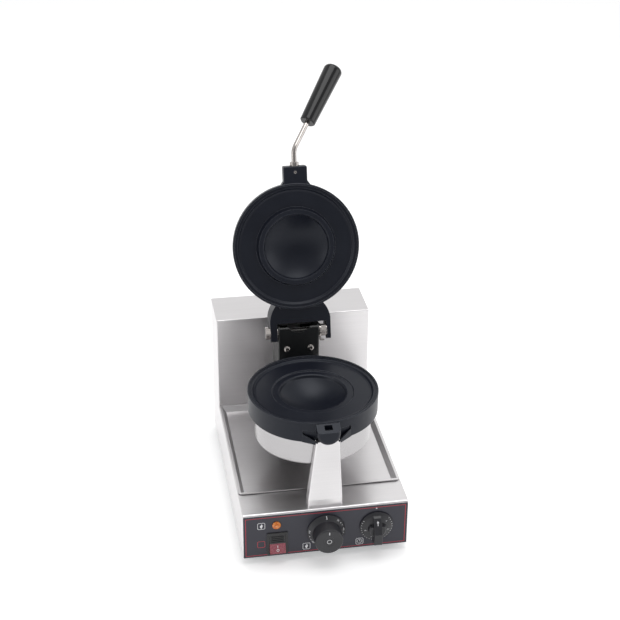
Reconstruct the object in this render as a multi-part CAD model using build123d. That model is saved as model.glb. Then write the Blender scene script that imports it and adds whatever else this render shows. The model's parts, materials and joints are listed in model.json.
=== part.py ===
"""Counter-top round-plate press iron: base with a drip tray, lower plate on a leg, hinged upper plate.

Millimetres, +Z up, +X to the user's right, +Y to the back. The origin is on the counter, under the
middle of the whole open machine. The upper plate is drawn closed, then swung open about its hinge.
"""
from build123d import *
import os
from math import atan2, cos, degrees, radians, sin, sqrt

os.makedirs("parts", exist_ok=True)

# ---- driving dimensions -----------------------------------------------------------------------
SHEET = 1.2          # stainless sheet
BASE_W = 254.0       # width of the base
BASE_D = 396.0       # depth of the base, overlay to rear panel
BASE_H = 78.0        # height of the base housing without feet
FOOT_H = 12.0        # rubber feet
REAR_D = 83.0        # depth of the rear housing
REAR_H = 164.0       # height of the rear housing above the base
OVERHANG = 5.05      # half of what the open handle adds behind over what the knobs add in front

FOOT_X, FOOT_Y = 98.0, 165.0   # feet from the middle of the base
OVERLAY = 0.8        # control panel overlay
TRAY_FRONT = 54.0    # from the front face to the front edge of the tray
TRAY_DEPTH = 6.0     # recess of the tray floor
GLAND_X, GLAND_RISE = 72.0, 36.0

PLATE_R = 100.8      # radius of both cast plates
PLATE_SETBACK = 124.0  # front face to the plate centre
PLATE_RISE = 138.0   # base top to the rim of the lower plate
SKIRT_H = 34.0       # height of the lower plate's skirt
LID_SKIRT_H = 13.0   # height of the upper plate's skirt
SKIRT_DRAFT = 0.6    # the skirt is this much narrower at its open edge
LEDGE_R = 98.1       # outer edge of the shallow step inside the rim
LEDGE_DEPTH = 2.4
FLOOR_DEPTH = 5.5    # rim to the flat baking floor
RING_R = 63.5        # outer radius of the sealing ring
BOWL_R = 52.5        # radius of the central bowl at its mouth
BOWL_THROAT_R = 50.0 # radius where the steep wall of the mouth turns into the bowl
MOUTH_DEPTH = 4.5
BOWL_DEPTH = 22.0
CAST_T = 5.0         # casting thickness under the bowl
DRUM_R = 90.0        # stainless drum below the lower plate
DRUM_FLOOR = 58.0    # base top to the bottom of the drum
COVER_R = 89.8       # stainless cover behind the upper plate
COVER_H = 49.0       # mating plane to the back of the cover
STUD_COUNT = 3
STUD_PITCH_R = 70.0  # circle of the studs that hold the drum and the cover
STUD_START = 30.0    # degrees to the first stud
STUD_TAIL = 4.5      # stud beyond the drum or the cover
ELEMENT_R = 80.0     # centre line of the tubular heater
ELEMENT_TUBE = 4.0
ELEMENT_TURNS = (80, 100)   # degrees to the two heater legs
CONDUIT_RISE = 82.0  # base top to the conduit
BUSH_SETBACK = 48.0  # plate centre to the cable bush in the cover

LUG_X = 5.0          # middle of the front lug and of the leg's head
LUG_R = 17.5         # rounded underside of the front lug
LUG_DROP = 14.5      # rim to the centre of that round
LUG_SETBACK = 8.0    # front face to the lug
POCKET_X = 37.0      # half width of the pocket beside the lug
POCKET_TOP = 14.0    # rim to the upper edge of the pocket
POCKET_DEPTH = 2.6
ARM_X = 25.0         # half width of the rear arm
ARM_RISE = (98.0, 117.0)      # base top to the underside and the top of the rear arm
ARM_BOLT_X = 15.0
LEG_T = 1.5
LEG_FOOT_X, LEG_HEAD_X = 26.0, 17.5   # half widths of the leg
LEG_SCREW_X = 13.0

HINGE_SETBACK = 266.0  # front face to the hinge axis
HINGE_RISE = 160.0   # base top to the hinge axis
OPEN_DEG = 105.0     # opening of the upper plate at its stop
PIN_R = 6.0
RUN_GAP = 0.06       # radial running clearance of a shaft
FIT_GAP = 0.02       # radial clearance of a fixed stud
YOKE_MID = 3.5       # the yoke stands this far to the right of the bracket
YOKE_HALF = 49.0     # half width over the hinge ears
LEFT_EAR_T, RIGHT_EAR_T = 11.0, 6.5
EAR_R = 15.0
BRACKET_X = 33.5     # half width of the hinge bracket
BRACKET_T = 3.0
BRACKET_RISE = 42.0  # base top to the bracket's lower edge
STOP_RISE = 8.3      # flange top behind the axis, where the open yoke rests
BUTTON_X = 19.3      # button screws from the middle
BUTTON_RISE = 134.0  # base top to the button screws
MOUNT_BOLT_X = 20.0

MATE_GAP = 0.4       # air between the closed plates' rims
BOSS_X = 3.0         # middle of the handle boss and its rod
BOSS_HALF = 18.8     # half width of the boss
BOSS_FACE = 0.8      # mating plane to the near face of the boss
BOSS_T = 17.0
BOSS_RISE = 9.5      # mating plane to the axis of the handle rod
BOSS_REACH = 127.0   # plate centre to the front of the boss
BEND_REACH = 152.0   # plate centre to the corner of the bent rod

HANDLE_R = 4.0       # bent rod
HANDLE_BEND = 41.6   # degrees between the two straight runs
HANDLE_ROLL = 40.0   # the bend leans this far from sideways towards up
GRIP_START = 52.5    # from the bend corner to the grip
GRIP_L = 107.0
GRIP_R0 = 12.6
GRIP_R1 = 15.2

LAMP_X, LAMP_RISE = -75.7, 57.0
SWITCH_X, SWITCH_RISE = -74.5, 23.5
SWITCH_W, SWITCH_H = 32.0, 40.0
SWITCH_BOX_X, SWITCH_BOX_Z = 13.5, 18.0   # half width and half height of the box behind the bezel
ROCKER_TILT = 12.0
ROCKER_R = 16.8
ROCKER_W = 24.0
THERMO_X, KNOB_RISE = 0.0, 38.5
TIMER_X = 77.5
KNOB_SKIRT_R = 29.0
KNOB_CAP_R = 22.3
KNOB_REACH = 30.0    # front face to the front of the thermostat cap
KNOB_HOLLOW_R = 19.0
SOCKET_DEPTH = 16.5
TIMER_SKIRT_R = 25.6
TIMER_BAR = 13.0     # width of the bar across the timer knob
SHAFT_R = 3.0
CONTROL_SCREW_X = 14.0
SLOT_HALF = 2.0      # half width of a vent slot

M4, M5, M6 = 2.0, 2.5, 3.0             # thread radii

# ---- derived places ---------------------------------------------------------------------------
BASE_Z = FOOT_H
TOP_Z = BASE_Z + BASE_H
HALF_W = BASE_W / 2
FRONT = -BASE_D / 2 - OVERHANG
BACK = FRONT + BASE_D
MID_Y = FRONT + BASE_D / 2
STEEL_FRONT = FRONT + OVERLAY
STEEL_BACK = BACK - SHEET
REAR_FRONT = BACK - REAR_D
REAR_TOP = TOP_Z + REAR_H
PLATE_Y = FRONT + PLATE_SETBACK
PLATE_Z = TOP_Z + PLATE_RISE
HINGE_Y = FRONT + HINGE_SETBACK
HINGE_Z = TOP_Z + HINGE_RISE
FACE_Y = HINGE_Y - 10.0              # front of the hinge bracket
DRUM_Z = TOP_Z + DRUM_FLOOR
DIAL_Z = BASE_Z + KNOB_RISE          # both knobs
GLAND_Z = BASE_Z + GLAND_RISE
LAMP_Z = BASE_Z + LAMP_RISE
SWITCH_Z = BASE_Z + SWITCH_RISE
PIVOT_Y = FRONT + 1.0                # rocker trunnions
CONDUIT_Z = TOP_Z + CONDUIT_RISE
WEB_Z = -FLOOR_DEPTH - 6.5           # back of the baking floor, from the rim
LUG_FRONT = FRONT + LUG_SETBACK
LUG_SCREW_Y = LUG_FRONT + 17.5
LEG_HEAD = PLATE_Z - LUG_DROP - LUG_R + 0.8   # flat seat on the lug's underside
LEG_SCREW_Y = FRONT + 19.0
LEG_FOOT = (FRONT + 8.0, FRONT + 26.0)        # front and back of the foot
LEG_TOP = (FRONT + 20.0, FRONT + 30.8)        # front and back of the head
ARM_LOW, ARM_HIGH = (TOP_Z + rise for rise in ARM_RISE)
ARM_MID = (ARM_LOW + ARM_HIGH) / 2
BRACKET_LOW = TOP_Z + BRACKET_RISE
SCREW_Z = TOP_Z + BUTTON_RISE
MATE_Z = PLATE_Z + MATE_GAP          # mating plane of the closed upper plate
ROD_Z = MATE_Z + BOSS_RISE           # handle rod where it enters the boss
BOSS_END = PLATE_Y - BOSS_REACH
BEND_CORNER = Vector(BOSS_X, PLATE_Y - BEND_REACH, ROD_Z)
YOKE_LOW = HINGE_Z - 8.0
YOKE_HIGH = HINGE_Z + 26.0
YOKE_INNER = HINGE_Y - 16.0
YOKE_LEFT, YOKE_RIGHT = YOKE_MID - YOKE_HALF, YOKE_MID + YOKE_HALF
HINGE_AXIS = Axis((0, HINGE_Y, HINGE_Z), (1, 0, 0))


# ---- helpers ----------------------------------------------------------------------------------
def block(x0, x1, y0, y1, z0, z1):
    """Box between two corners."""
    return Pos((x0 + x1) / 2, (y0 + y1) / 2, (z0 + z1) / 2) * Box(x1 - x0, y1 - y0, z1 - z0)


def rod_x(r, x0, x1, y, z):
    return Pos((x0 + x1) / 2, y, z) * Rot(0, 90, 0) * Cylinder(r, x1 - x0)


def rod_y(r, x, y0, y1, z):
    return Pos(x, (y0 + y1) / 2, z) * Rot(90, 0, 0) * Cylinder(r, y1 - y0)


def rod_z(r, x, y, z0, z1):
    return Pos(x, y, (z0 + z1) / 2) * Cylinder(r, z1 - z0)


def hexagon(across, height):
    """Hexagonal prism standing on the XY plane."""
    return extrude(RegularPolygon(across / 2, 6, major_radius=False), height)


def spin(outline, x=0.0, y=0.0, z=0.0):
    """Turn a closed (radius, height) outline round the vertical axis through x, y."""
    return Pos(x, y, z) * revolve(make_face(Plane.XZ * outline), Axis.Z)


def spin_front(outline, x, y, z):
    """Turn a closed (radius, stand-off) outline round an axis that points to the front."""
    return Pos(x, y, z) * Rot(90, 0, 0) * revolve(make_face(Plane.XZ * outline), Axis.Z)


def closed(points):
    return Polyline(*points, close=True)


def dome_arc(radius, foot_z, height):
    """Arc of a sphere section from its rim at foot_z up to the axis."""
    sphere = (radius ** 2 + height ** 2) / (2 * height)
    mid_z = foot_z + height - sphere + sqrt(sphere ** 2 - radius ** 2 / 4)
    return ThreePointArc((radius, foot_z), (radius / 2, mid_z), (0, foot_z + height))


def around(count, radius, start=0.0):
    """Places round a circle, as (x, y) pairs."""
    turns = [radians(start + 360.0 * i / count) for i in range(count)]
    return [(radius * cos(a), radius * sin(a)) for a in turns]


def write(name, *solids):
    """Export one node; several solids of one kind share a node as a group."""
    shape = solids[0] if len(solids) == 1 else Compound(children=list(solids))
    export_step(shape, f"parts/{name}.step")


def write_open(name, *solids):
    """Swing pieces drawn closed to the open rest pose, then export them."""
    write(name, *[s.rotate(HINGE_AXIS, -OPEN_DEG) for s in solids])


# ---- base sheet metal -------------------------------------------------------------------------
def base_housing():
    outer = block(-HALF_W, HALF_W, STEEL_FRONT, STEEL_BACK, BASE_Z, TOP_Z)
    front_edge = outer.edges().filter_by(Axis.X).group_by(Axis.Z)[-1].sort_by(Axis.Y)[0]
    outer = fillet(front_edge, 3.0)
    side_edges = outer.edges().filter_by(Axis.Y).group_by(Axis.Z)[-1]
    outer = fillet(side_edges, 1.5)
    inner = block(-HALF_W + SHEET, HALF_W - SHEET, STEEL_FRONT + SHEET, STEEL_BACK - SHEET,
                  BASE_Z - 1, TOP_Z - SHEET)
    tray_hole = block(-122, 122, FRONT + TRAY_FRONT + 3.2, REAR_FRONT - 2.5, TOP_Z - 5, TOP_Z + 5)
    rear_hole = block(-120, 120, REAR_FRONT + 5, STEEL_BACK - 8, TOP_Z - 5, TOP_Z + 5)
    rear_window = block(-112, 112, STEEL_BACK - 5, STEEL_BACK + 5, BASE_Z + 14, TOP_Z - 8)
    shell = outer - inner - tray_hole - rear_hole - rear_window
    for cut in front_holes():
        shell -= cut
    for x, z in rear_panel_places()[:4]:
        shell -= rod_y(1.8, x, STEEL_BACK - 5, STEEL_BACK + 5, z)
    for x in (-LEG_SCREW_X, LEG_SCREW_X):
        shell -= rod_z(2.6, x, LEG_SCREW_Y, TOP_Z - 4, TOP_Z + 1)
    return shell


def front_holes():
    """Holes through the front wall and the overlay."""
    y0, y1 = FRONT - 2, FRONT + 6
    yield rod_y(5.1, LAMP_X, y0, y1, LAMP_Z)
    half_x, half_z = SWITCH_BOX_X + 0.1, SWITCH_BOX_Z + 0.1
    yield block(SWITCH_X - half_x, SWITCH_X + half_x, y0, y1, SWITCH_Z - half_z, SWITCH_Z + half_z)
    for x in (THERMO_X, TIMER_X):
        yield rod_y(5.0, x, y0, y1, DIAL_Z)
        for side in (-CONTROL_SCREW_X, CONTROL_SCREW_X):
            yield rod_y(1.6, x + side, y0, y1, DIAL_Z)


def control_panel():
    sheet = block(-HALF_W + 1.0, HALF_W - 1.0, FRONT, STEEL_FRONT, BASE_Z + 0.6, TOP_Z - 3.0)
    sheet = fillet(sheet.edges().filter_by(Axis.Y), 1.2)
    for cut in front_holes():
        sheet -= cut
    return sheet


def foot_places():
    return [(sx * FOOT_X, MID_Y + sy * FOOT_Y) for sx in (-1, 1) for sy in (-1, 1)]


def bottom_cover():
    """Plate let into the open underside, with two rows of vent slots."""
    gap = 0.15
    z0 = BASE_Z
    plate = block(-HALF_W + SHEET + gap, HALF_W - SHEET - gap, STEEL_FRONT + SHEET + gap,
                  STEEL_BACK - SHEET - gap, z0, z0 + SHEET)
    for x in range(-75, 76, 15):
        for y in (MID_Y - 70, MID_Y + 70):
            plate -= block(x - SLOT_HALF, x + SLOT_HALF, y - 25, y + 25, z0 - 1, z0 + 3)
    for x, y in foot_places():
        plate -= rod_z(M4 + 0.1, x, y, z0 - 2, z0 + 4)
    return plate


def foot(x, y):
    """Tapered rubber foot with a countersunk screw well."""
    body = spin(closed([(0, 0), (13, 0), (15, 2), (15.5, FOOT_H), (0, FOOT_H)]), x, y)
    return body - rod_z(M4 + 0.1, x, y, -1, FOOT_H + 1) - rod_z(5.5, x, y, -1, 5.0)


def foot_screw(x, y):
    head = rod_z(4.2, x, y, 2.4, 5.0)
    return head + rod_z(M4, x, y, 5.0, BASE_Z + 9.0)


def foot_nut(x, y):
    nut = Pos(x, y, BASE_Z + SHEET) * hexagon(7.0, 3.2)
    return nut - rod_z(M4 + FIT_GAP, x, y, BASE_Z, BASE_Z + 9)


def rear_housing():
    outer = block(-HALF_W, HALF_W, REAR_FRONT, STEEL_BACK, TOP_Z, REAR_TOP)
    uprights = outer.edges().filter_by(Axis.Z).group_by(Axis.Y)[0]
    outer = fillet(outer.edges().group_by(Axis.Z)[-1] + uprights, 1.5)
    inner = block(-HALF_W + SHEET, HALF_W - SHEET, REAR_FRONT + SHEET, STEEL_BACK - SHEET,
                  TOP_Z - 1, REAR_TOP - SHEET)
    window = block(-112, 112, STEEL_BACK - 5, STEEL_BACK + 5, TOP_Z - 1, REAR_TOP - 14)
    shell = outer - inner - window
    shell -= rod_y(8.0, 0, REAR_FRONT - 5, REAR_FRONT + 5, CONDUIT_Z)
    for x, z in mount_bolt_places():
        shell -= rod_y(M6 + 0.1, x, REAR_FRONT - 5, REAR_FRONT + 5, z)
    for x, z in rear_panel_places()[4:]:
        shell -= rod_y(1.8, x, STEEL_BACK - 5, STEEL_BACK + 5, z)
    return shell


def rear_panel_places():
    low = [(sx * 119.0, z) for z in (BASE_Z + 10, TOP_Z - 12) for sx in (-1, 1)]
    return low + [(sx * 119.0, z) for z in (TOP_Z + 60, REAR_TOP - 8) for sx in (-1, 1)]


def rear_panel():
    """Flat closing sheet with two rows of cooling slots and the cable inlet."""
    sheet = block(-HALF_W + 1, HALF_W - 1, STEEL_BACK, BACK, BASE_Z + 1, REAR_TOP - 1)
    sheet = fillet(sheet.edges().filter_by(Axis.Y), 2.0)
    for x in range(-84, 85, 12):
        for z in (REAR_TOP - 45, REAR_TOP - 85):
            sheet -= block(x - SLOT_HALF, x + SLOT_HALF, STEEL_BACK - 1, BACK + 1, z - 13, z + 13)
            for end in (z - 13, z + 13):
                sheet -= rod_y(SLOT_HALF, x, STEEL_BACK - 1, BACK + 1, end)
    for x, z in rear_panel_places():
        sheet -= rod_y(1.8, x, STEEL_BACK - 1, BACK + 1, z)
    return sheet - rod_y(8.05, GLAND_X, STEEL_BACK - 1, BACK + 1, GLAND_Z)


def panel_screw(x, z):
    """Pan-head screw with a cross recess, driven from behind."""
    head = spin_front(closed([(0, 0), (3.4, 0), (3.4, -0.9), (2.2, -1.8), (0, -1.8)]), x, BACK, z)
    for turn in (0, 90):
        head -= Pos(x, BACK + 1.6, z) * Rot(0, turn, 0) * Box(3.2, 1.2, 0.8)
    return head + rod_y(1.75, x, STEEL_BACK - 6, BACK, z)


def cable_gland():
    """Compression gland: flange and thread through the panel, domed cap outside."""
    base = Pos(GLAND_X, BACK, GLAND_Z) * Rot(-90, 0, 0) * hexagon(24.0, 5.0)
    thread = rod_y(8.0, GLAND_X, STEEL_BACK - 11, BACK, GLAND_Z)
    cap = [(0, -5), (10.5, -5), (10.5, -13), (8.2, -19), (6.2, -20), (0, -20)]
    dome = spin_front(closed(cap), GLAND_X, BACK, GLAND_Z)
    for turn in range(0, 180, 30):
        dome += Pos(GLAND_X, BACK + 9, GLAND_Z) * Rot(0, turn, 0) * Box(22.0, 7.0, 1.6)
    return base + thread + dome - rod_y(4.0, GLAND_X, STEEL_BACK - 15, BACK + 25, GLAND_Z)


def gland_nut():
    nut = Pos(GLAND_X, STEEL_BACK - 6.0, GLAND_Z) * Rot(-90, 0, 0) * hexagon(24.0, 5.9)
    return nut - rod_y(8.0 + FIT_GAP, GLAND_X, STEEL_BACK - 12, BACK, GLAND_Z)


def tapered(x0, y0, x1, y1, z0, z1):
    """Block that widens upward: half width x0 and depth y0 to y1 at z0, half width x1 at z1."""
    low = Pos(0, (y0 + y1) / 2, z0) * Rectangle(2 * x0, y1 - y0)
    high = Pos(0, (y0 + y1) / 2, z1) * Rectangle(2 * x1, y1 - y0 + 2 * (x1 - x0))
    return loft([low, high])


def drip_tray():
    """Shallow pan with a lip; the lip stands on its side hems and clears the base along the front."""
    x_lip, x_top, x_floor = 125.5, 122.5, 116.5
    y_lip = FRONT + TRAY_FRONT
    y_back = REAR_FRONT - 0.2
    lip_top = TOP_Z + 2.8
    lip_low = TOP_Z + 1.6
    floor_z = TOP_Z - TRAY_DEPTH

    outer_y0, outer_y1 = y_lip + 3, y_back - 3
    slope = x_top - x_floor
    pan = tapered(x_floor, outer_y0 + slope, x_top, outer_y1 - slope, floor_z - 1, lip_top)
    well = tapered(x_floor - 1.0, outer_y0 + slope + 1.0, x_top - 1.0, outer_y1 - slope - 1.0,
                   floor_z, lip_top + 0.01)
    lip = block(-x_lip, x_lip, y_lip, y_back, lip_low, lip_top)
    lip = fillet(lip.edges().filter_by(Axis.Z).group_by(Axis.Y)[0], 7.0)
    side_hems = [block(sx * x_lip - 1.2 * (sx > 0), sx * x_lip + 1.2 * (sx < 0), y_lip + 12, y_back,
                       TOP_Z, lip_low + 0.1) for sx in (-1, 1)]
    return lip + pan + side_hems[0] + side_hems[1] - well


# ---- lower plate and its supports -------------------------------------------------------------
def bowl_radius():
    depth = BOWL_DEPTH - MOUTH_DEPTH
    return (BOWL_THROAT_R ** 2 + depth ** 2) / (2 * depth)


def cap_arc(radius, centre_z, r_mouth):
    """Arc of a sphere section from the axis to r_mouth."""
    r_mid = r_mouth / 2
    return ThreePointArc((0, centre_z - radius), (r_mid, centre_z - sqrt(radius ** 2 - r_mid ** 2)),
                         (r_mouth, centre_z - sqrt(radius ** 2 - r_mouth ** 2)))


def casting(land_z, ring_foot, skirt_h):
    """Round plate with a bowl, drawn face up with its rim at z = 0.

    land_z is the height of the ring round the bowl, ring_foot the radius where its bevel ends.
    """
    sphere = bowl_radius()
    centre_z = land_z - BOWL_DEPTH + sphere
    back = sphere + CAST_T
    r_back = BOWL_R + 3.0
    z_back = centre_z - sqrt(back ** 2 - r_back ** 2)
    skirt_r = PLATE_R - SKIRT_DRAFT
    rim = [(BOWL_THROAT_R, land_z - MOUTH_DEPTH), (BOWL_R - 0.6, land_z - 0.8), (BOWL_R + 1.0, land_z),
           (ring_foot, land_z), (RING_R, -FLOOR_DEPTH), (87.5, -FLOOR_DEPTH), (90.0, -FLOOR_DEPTH + 0.5),
           (92.3, -LEDGE_DEPTH - 0.6), (93.0, -LEDGE_DEPTH), (LEDGE_R - 0.6, -LEDGE_DEPTH),
           (LEDGE_R - 0.4, -0.5), (LEDGE_R, 0), (PLATE_R - 0.9, 0), (PLATE_R, -0.9),
           (skirt_r, -skirt_h + 0.8), (skirt_r - 0.8, -skirt_h), (PLATE_R - 5.0, -skirt_h),
           (PLATE_R - 6.0, WEB_Z), (r_back + 8, WEB_Z), (r_back, z_back)]
    edge = Polyline(*rim)
    inner_arc = cap_arc(sphere, centre_z, BOWL_THROAT_R)
    outer_arc = cap_arc(back, centre_z, r_back)
    axis_line = Line((0, centre_z - back), (0, centre_z - sphere))
    body = revolve(make_face(Plane.XZ * (inner_arc + edge + outer_arc + axis_line)), Axis.Z)
    for x, y in around(STUD_COUNT, STUD_PITCH_R, STUD_START):
        body += rod_z(6.0, x, y, WEB_Z - 10, WEB_Z + 1)
        body -= rod_z(M5 + FIT_GAP, x, y, WEB_Z - 11, WEB_Z + 1.5)
    return body


def lower_lug():
    """Tongue with a round underside, a sloping top and a slot in it."""
    arc = ThreePointArc((-LUG_R, -LUG_DROP), (0, -LUG_DROP - LUG_R), (LUG_R, -LUG_DROP))
    outline = arc + Polyline((LUG_R, -LUG_DROP), (LUG_R, -2.0), (-LUG_R, -2.0), (-LUG_R, -LUG_DROP))
    front = Plane((LUG_X, LUG_FRONT, PLATE_Z), x_dir=(1, 0, 0), z_dir=(0, -1, 0))
    lug = extrude(front * make_face(outline), -28.0)
    corners = [e for e in lug.edges().filter_by(Axis.Z) if e.center().Y < LUG_FRONT + 0.1]
    lug = fillet(corners, 6.0)
    slope = Plane.YZ * make_face(closed([(LUG_FRONT - 1, PLATE_Z - 9.5), (LUG_FRONT + 15, PLATE_Z - 2),
                                         (LUG_FRONT + 15, PLATE_Z + 4), (LUG_FRONT - 1, PLATE_Z + 4)]))
    lug -= extrude(slope, 30, both=True)
    lug -= block(LUG_X - 6, LUG_X + 6, LUG_FRONT + 4.5, LUG_FRONT + 13, PLATE_Z - 11, PLATE_Z)
    return lug


def gusset(side):
    """Thin triangular wall with a floor that ties the lug to the skirt, open on top."""
    near = (LUG_X + side * 16.0, LUG_FRONT + 9.0)
    far_x = LUG_X + side * (POCKET_X + 0.5)
    far = (far_x, PLATE_Y - sqrt((PLATE_R - 1.6) ** 2 - far_x ** 2))
    root = (LUG_X + side * 16.0, LUG_FRONT + 20.0)
    low = PLATE_Z - SKIRT_H
    run = sqrt((far[0] - near[0]) ** 2 + (far[1] - near[1]) ** 2)
    along = ((far[0] - near[0]) / run, (far[1] - near[1]) / run, 0)
    upright = Plane((near[0], near[1], low), x_dir=along, z_dir=(along[1], -along[0], 0))
    wall = extrude(upright * make_face(closed([(0, 0), (run, 0), (run, 14.0), (0, 4.5)])), 0.9, both=True)
    floor = extrude(Plane((0, 0, low)) * make_face(closed([near, far, root])), 2.0)
    return wall + floor


def rear_arm():
    """Block behind the lower plate that is bolted to the hinge bracket."""
    arm = block(-ARM_X, ARM_X, PLATE_Y + 80, FACE_Y, ARM_LOW, ARM_HIGH)
    for x in (-ARM_BOLT_X, ARM_BOLT_X):
        arm -= rod_y(M6 + FIT_GAP, x, FACE_Y - 18, FACE_Y + 1, ARM_MID)
    return arm


def pockets():
    """Shallow recess in the skirt on both sides of the lug."""
    span = block(LUG_X - POCKET_X, LUG_X + POCKET_X, LUG_FRONT, PLATE_Y - 60,
                 PLATE_Z - SKIRT_H - 1, PLATE_Z - POCKET_TOP)
    return span - rod_z(PLATE_R - POCKET_DEPTH, 0, PLATE_Y, PLATE_Z - SKIRT_H - 2, PLATE_Z)


def lower_plate():
    plate = Pos(0, PLATE_Y, PLATE_Z) * casting(-FLOOR_DEPTH - 2.0, RING_R - 1.5, SKIRT_H) - pockets()
    extras = lower_lug() + gusset(-1) + gusset(1) + rear_arm()
    extras -= rod_z(PLATE_R - POCKET_DEPTH - 0.6, 0, PLATE_Y, PLATE_Z - 60, PLATE_Z + 10)
    plate += extras
    seat = LEG_HEAD_X + 1.5
    plate -= block(LUG_X - seat, LUG_X + seat, LUG_FRONT - 5, LEG_TOP[1] + 1.5, LEG_HEAD - 10, LEG_HEAD)
    plate -= rod_z(M4 + FIT_GAP, LUG_X, LUG_SCREW_Y, LEG_HEAD - 4, PLATE_Z - 18)
    return plate


def lower_drum():
    """Stainless drum round the heater, closed below."""
    top = PLATE_Z + WEB_Z
    outline = [(0, DRUM_Z), (DRUM_R - 3, DRUM_Z), (DRUM_R - 0.9, DRUM_Z + 0.9), (DRUM_R, DRUM_Z + 3),
               (DRUM_R, top), (DRUM_R - 1, top), (DRUM_R - 1, DRUM_Z + 3.4), (DRUM_R - 3.4, DRUM_Z + 1),
               (0, DRUM_Z + 1)]
    drum = spin(closed(outline), 0, PLATE_Y)
    for x, y in around(STUD_COUNT, STUD_PITCH_R, STUD_START):
        drum -= rod_z(2.6, x, PLATE_Y + y, DRUM_Z - 2, DRUM_Z + 4)
    return drum - rod_y(6.1, 0, PLATE_Y + DRUM_R - 10, PLATE_Y + DRUM_R + 5, CONDUIT_Z)


def heating_element(z, legs_to):
    """Tubular ring heater, open at the back, with two terminal legs."""
    tube = Pos(ELEMENT_R, 0, 0) * Rot(90, 0, 0) * Circle(ELEMENT_TUBE)
    first, last = ELEMENT_TURNS
    ring = Pos(0, 0, z) * Rot(0, 0, last) * revolve(tube, Axis.Z, 360 + first - last)
    for turn in ELEMENT_TURNS:
        x, y = ELEMENT_R * cos(radians(turn)), ELEMENT_R * sin(radians(turn))
        ring += Pos(x, y, z) * Sphere(ELEMENT_TUBE)
        ring += rod_z(ELEMENT_TUBE, x, y, min(z, legs_to), max(z, legs_to))
    return ring


def insulation(z0, z1):
    """Ceramic-fibre ring with clearance for the studs and the heater legs."""
    pad = Cylinder(88.0, z1 - z0) - Cylinder(50.0, z1 - z0 + 2)
    pad = Pos(0, 0, (z0 + z1) / 2) * pad
    for x, y in around(STUD_COUNT, STUD_PITCH_R, STUD_START):
        pad -= rod_z(3.4, x, y, z0 - 1, z1 + 1)
    for turn in ELEMENT_TURNS:
        x, y = ELEMENT_R * cos(radians(turn)), ELEMENT_R * sin(radians(turn))
        pad -= rod_z(ELEMENT_TUBE + 0.6, x, y, z0 - 1, z1 + 1)
    return pad


def cap_nut():
    """Domed hexagon nut for an M5 stud, seated on the XY plane and pointing up."""
    dome = Pos(0, 0, 3.6) * Sphere(3.4) & Pos(0, 0, 5) * Box(10, 10, 4)
    nut = hexagon(8.0, 4.2) + dome
    return nut - rod_z(M5 + FIT_GAP, 0, 0, -1, STUD_TAIL + 0.4)


def leg_block(inset, open_back):
    """Solid leg, straight at the foot and leaning back above it; inset gives its inside."""
    foot_top = TOP_Z + 12.0
    back = 5.0 if open_back else 0.0
    side = [(LEG_FOOT[0] + inset, TOP_Z), (LEG_FOOT[0] + inset, foot_top), (LEG_TOP[0] + inset, LEG_HEAD),
            (LEG_TOP[1] + back, LEG_HEAD), (LEG_FOOT[1] + back, foot_top), (LEG_FOOT[1] + back, TOP_Z)]
    foot_x, head_x = LEG_FOOT_X - inset, LEG_HEAD_X - inset
    front = [(-foot_x, TOP_Z), (-foot_x, foot_top), (LUG_X - head_x, LEG_HEAD), (LUG_X + head_x, LEG_HEAD),
             (foot_x, foot_top), (foot_x, TOP_Z)]
    sideways = extrude(Plane.YZ * make_face(closed(side)), 30, both=True)
    return sideways & extrude(Plane.XZ * make_face(closed(front)), 250, both=True)


def front_leg():
    """Formed channel that carries the front of the lower plate."""
    leg = leg_block(0.0, False)
    leg = chamfer([e for e in leg.edges() if e.center().Y < LEG_TOP[0] - 2 and abs((e % 0.5).Z) > 0.8], 1.2)
    leg -= leg_block(LEG_T, True)
    lap = LEG_T - 0.1
    leg += block(lap - LEG_FOOT_X, LEG_FOOT_X - lap, LEG_FOOT[0] + lap, LEG_FOOT[1], TOP_Z, TOP_Z + LEG_T)
    leg += block(LUG_X + lap - LEG_HEAD_X, LUG_X + LEG_HEAD_X - lap, LEG_TOP[0] + lap, LEG_TOP[1],
                 LEG_HEAD - LEG_T, LEG_HEAD)
    for x in (-LEG_SCREW_X, LEG_SCREW_X):
        leg -= rod_z(M5 + 0.1, x, LEG_SCREW_Y, TOP_Z - 1, TOP_Z + 4)
    return leg - rod_z(M4 + 0.1, LUG_X, LUG_SCREW_Y, LEG_HEAD - 4, LEG_HEAD + 1)


def leg_screws():
    """Screw up into the lug and two screws down into the base."""
    head_z = LEG_HEAD - LEG_T
    up = rod_z(3.2, LUG_X, LUG_SCREW_Y, head_z - 2.6, head_z)
    up += rod_z(M4, LUG_X, LUG_SCREW_Y, head_z, PLATE_Z - 19)
    screws = [up]
    for x in (-LEG_SCREW_X, LEG_SCREW_X):
        head = rod_z(4.0, x, LEG_SCREW_Y, TOP_Z + LEG_T, TOP_Z + LEG_T + 3.0)
        screws.append(head + rod_z(M5, x, LEG_SCREW_Y, TOP_Z - 8, TOP_Z + LEG_T))
    return screws


# ---- hinge bracket ----------------------------------------------------------------------------
def mount_bolt_places():
    return [(sx * MOUNT_BOLT_X, z) for sx in (-1, 1) for z in (BRACKET_LOW + 16, HINGE_Z - 28)]


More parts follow.
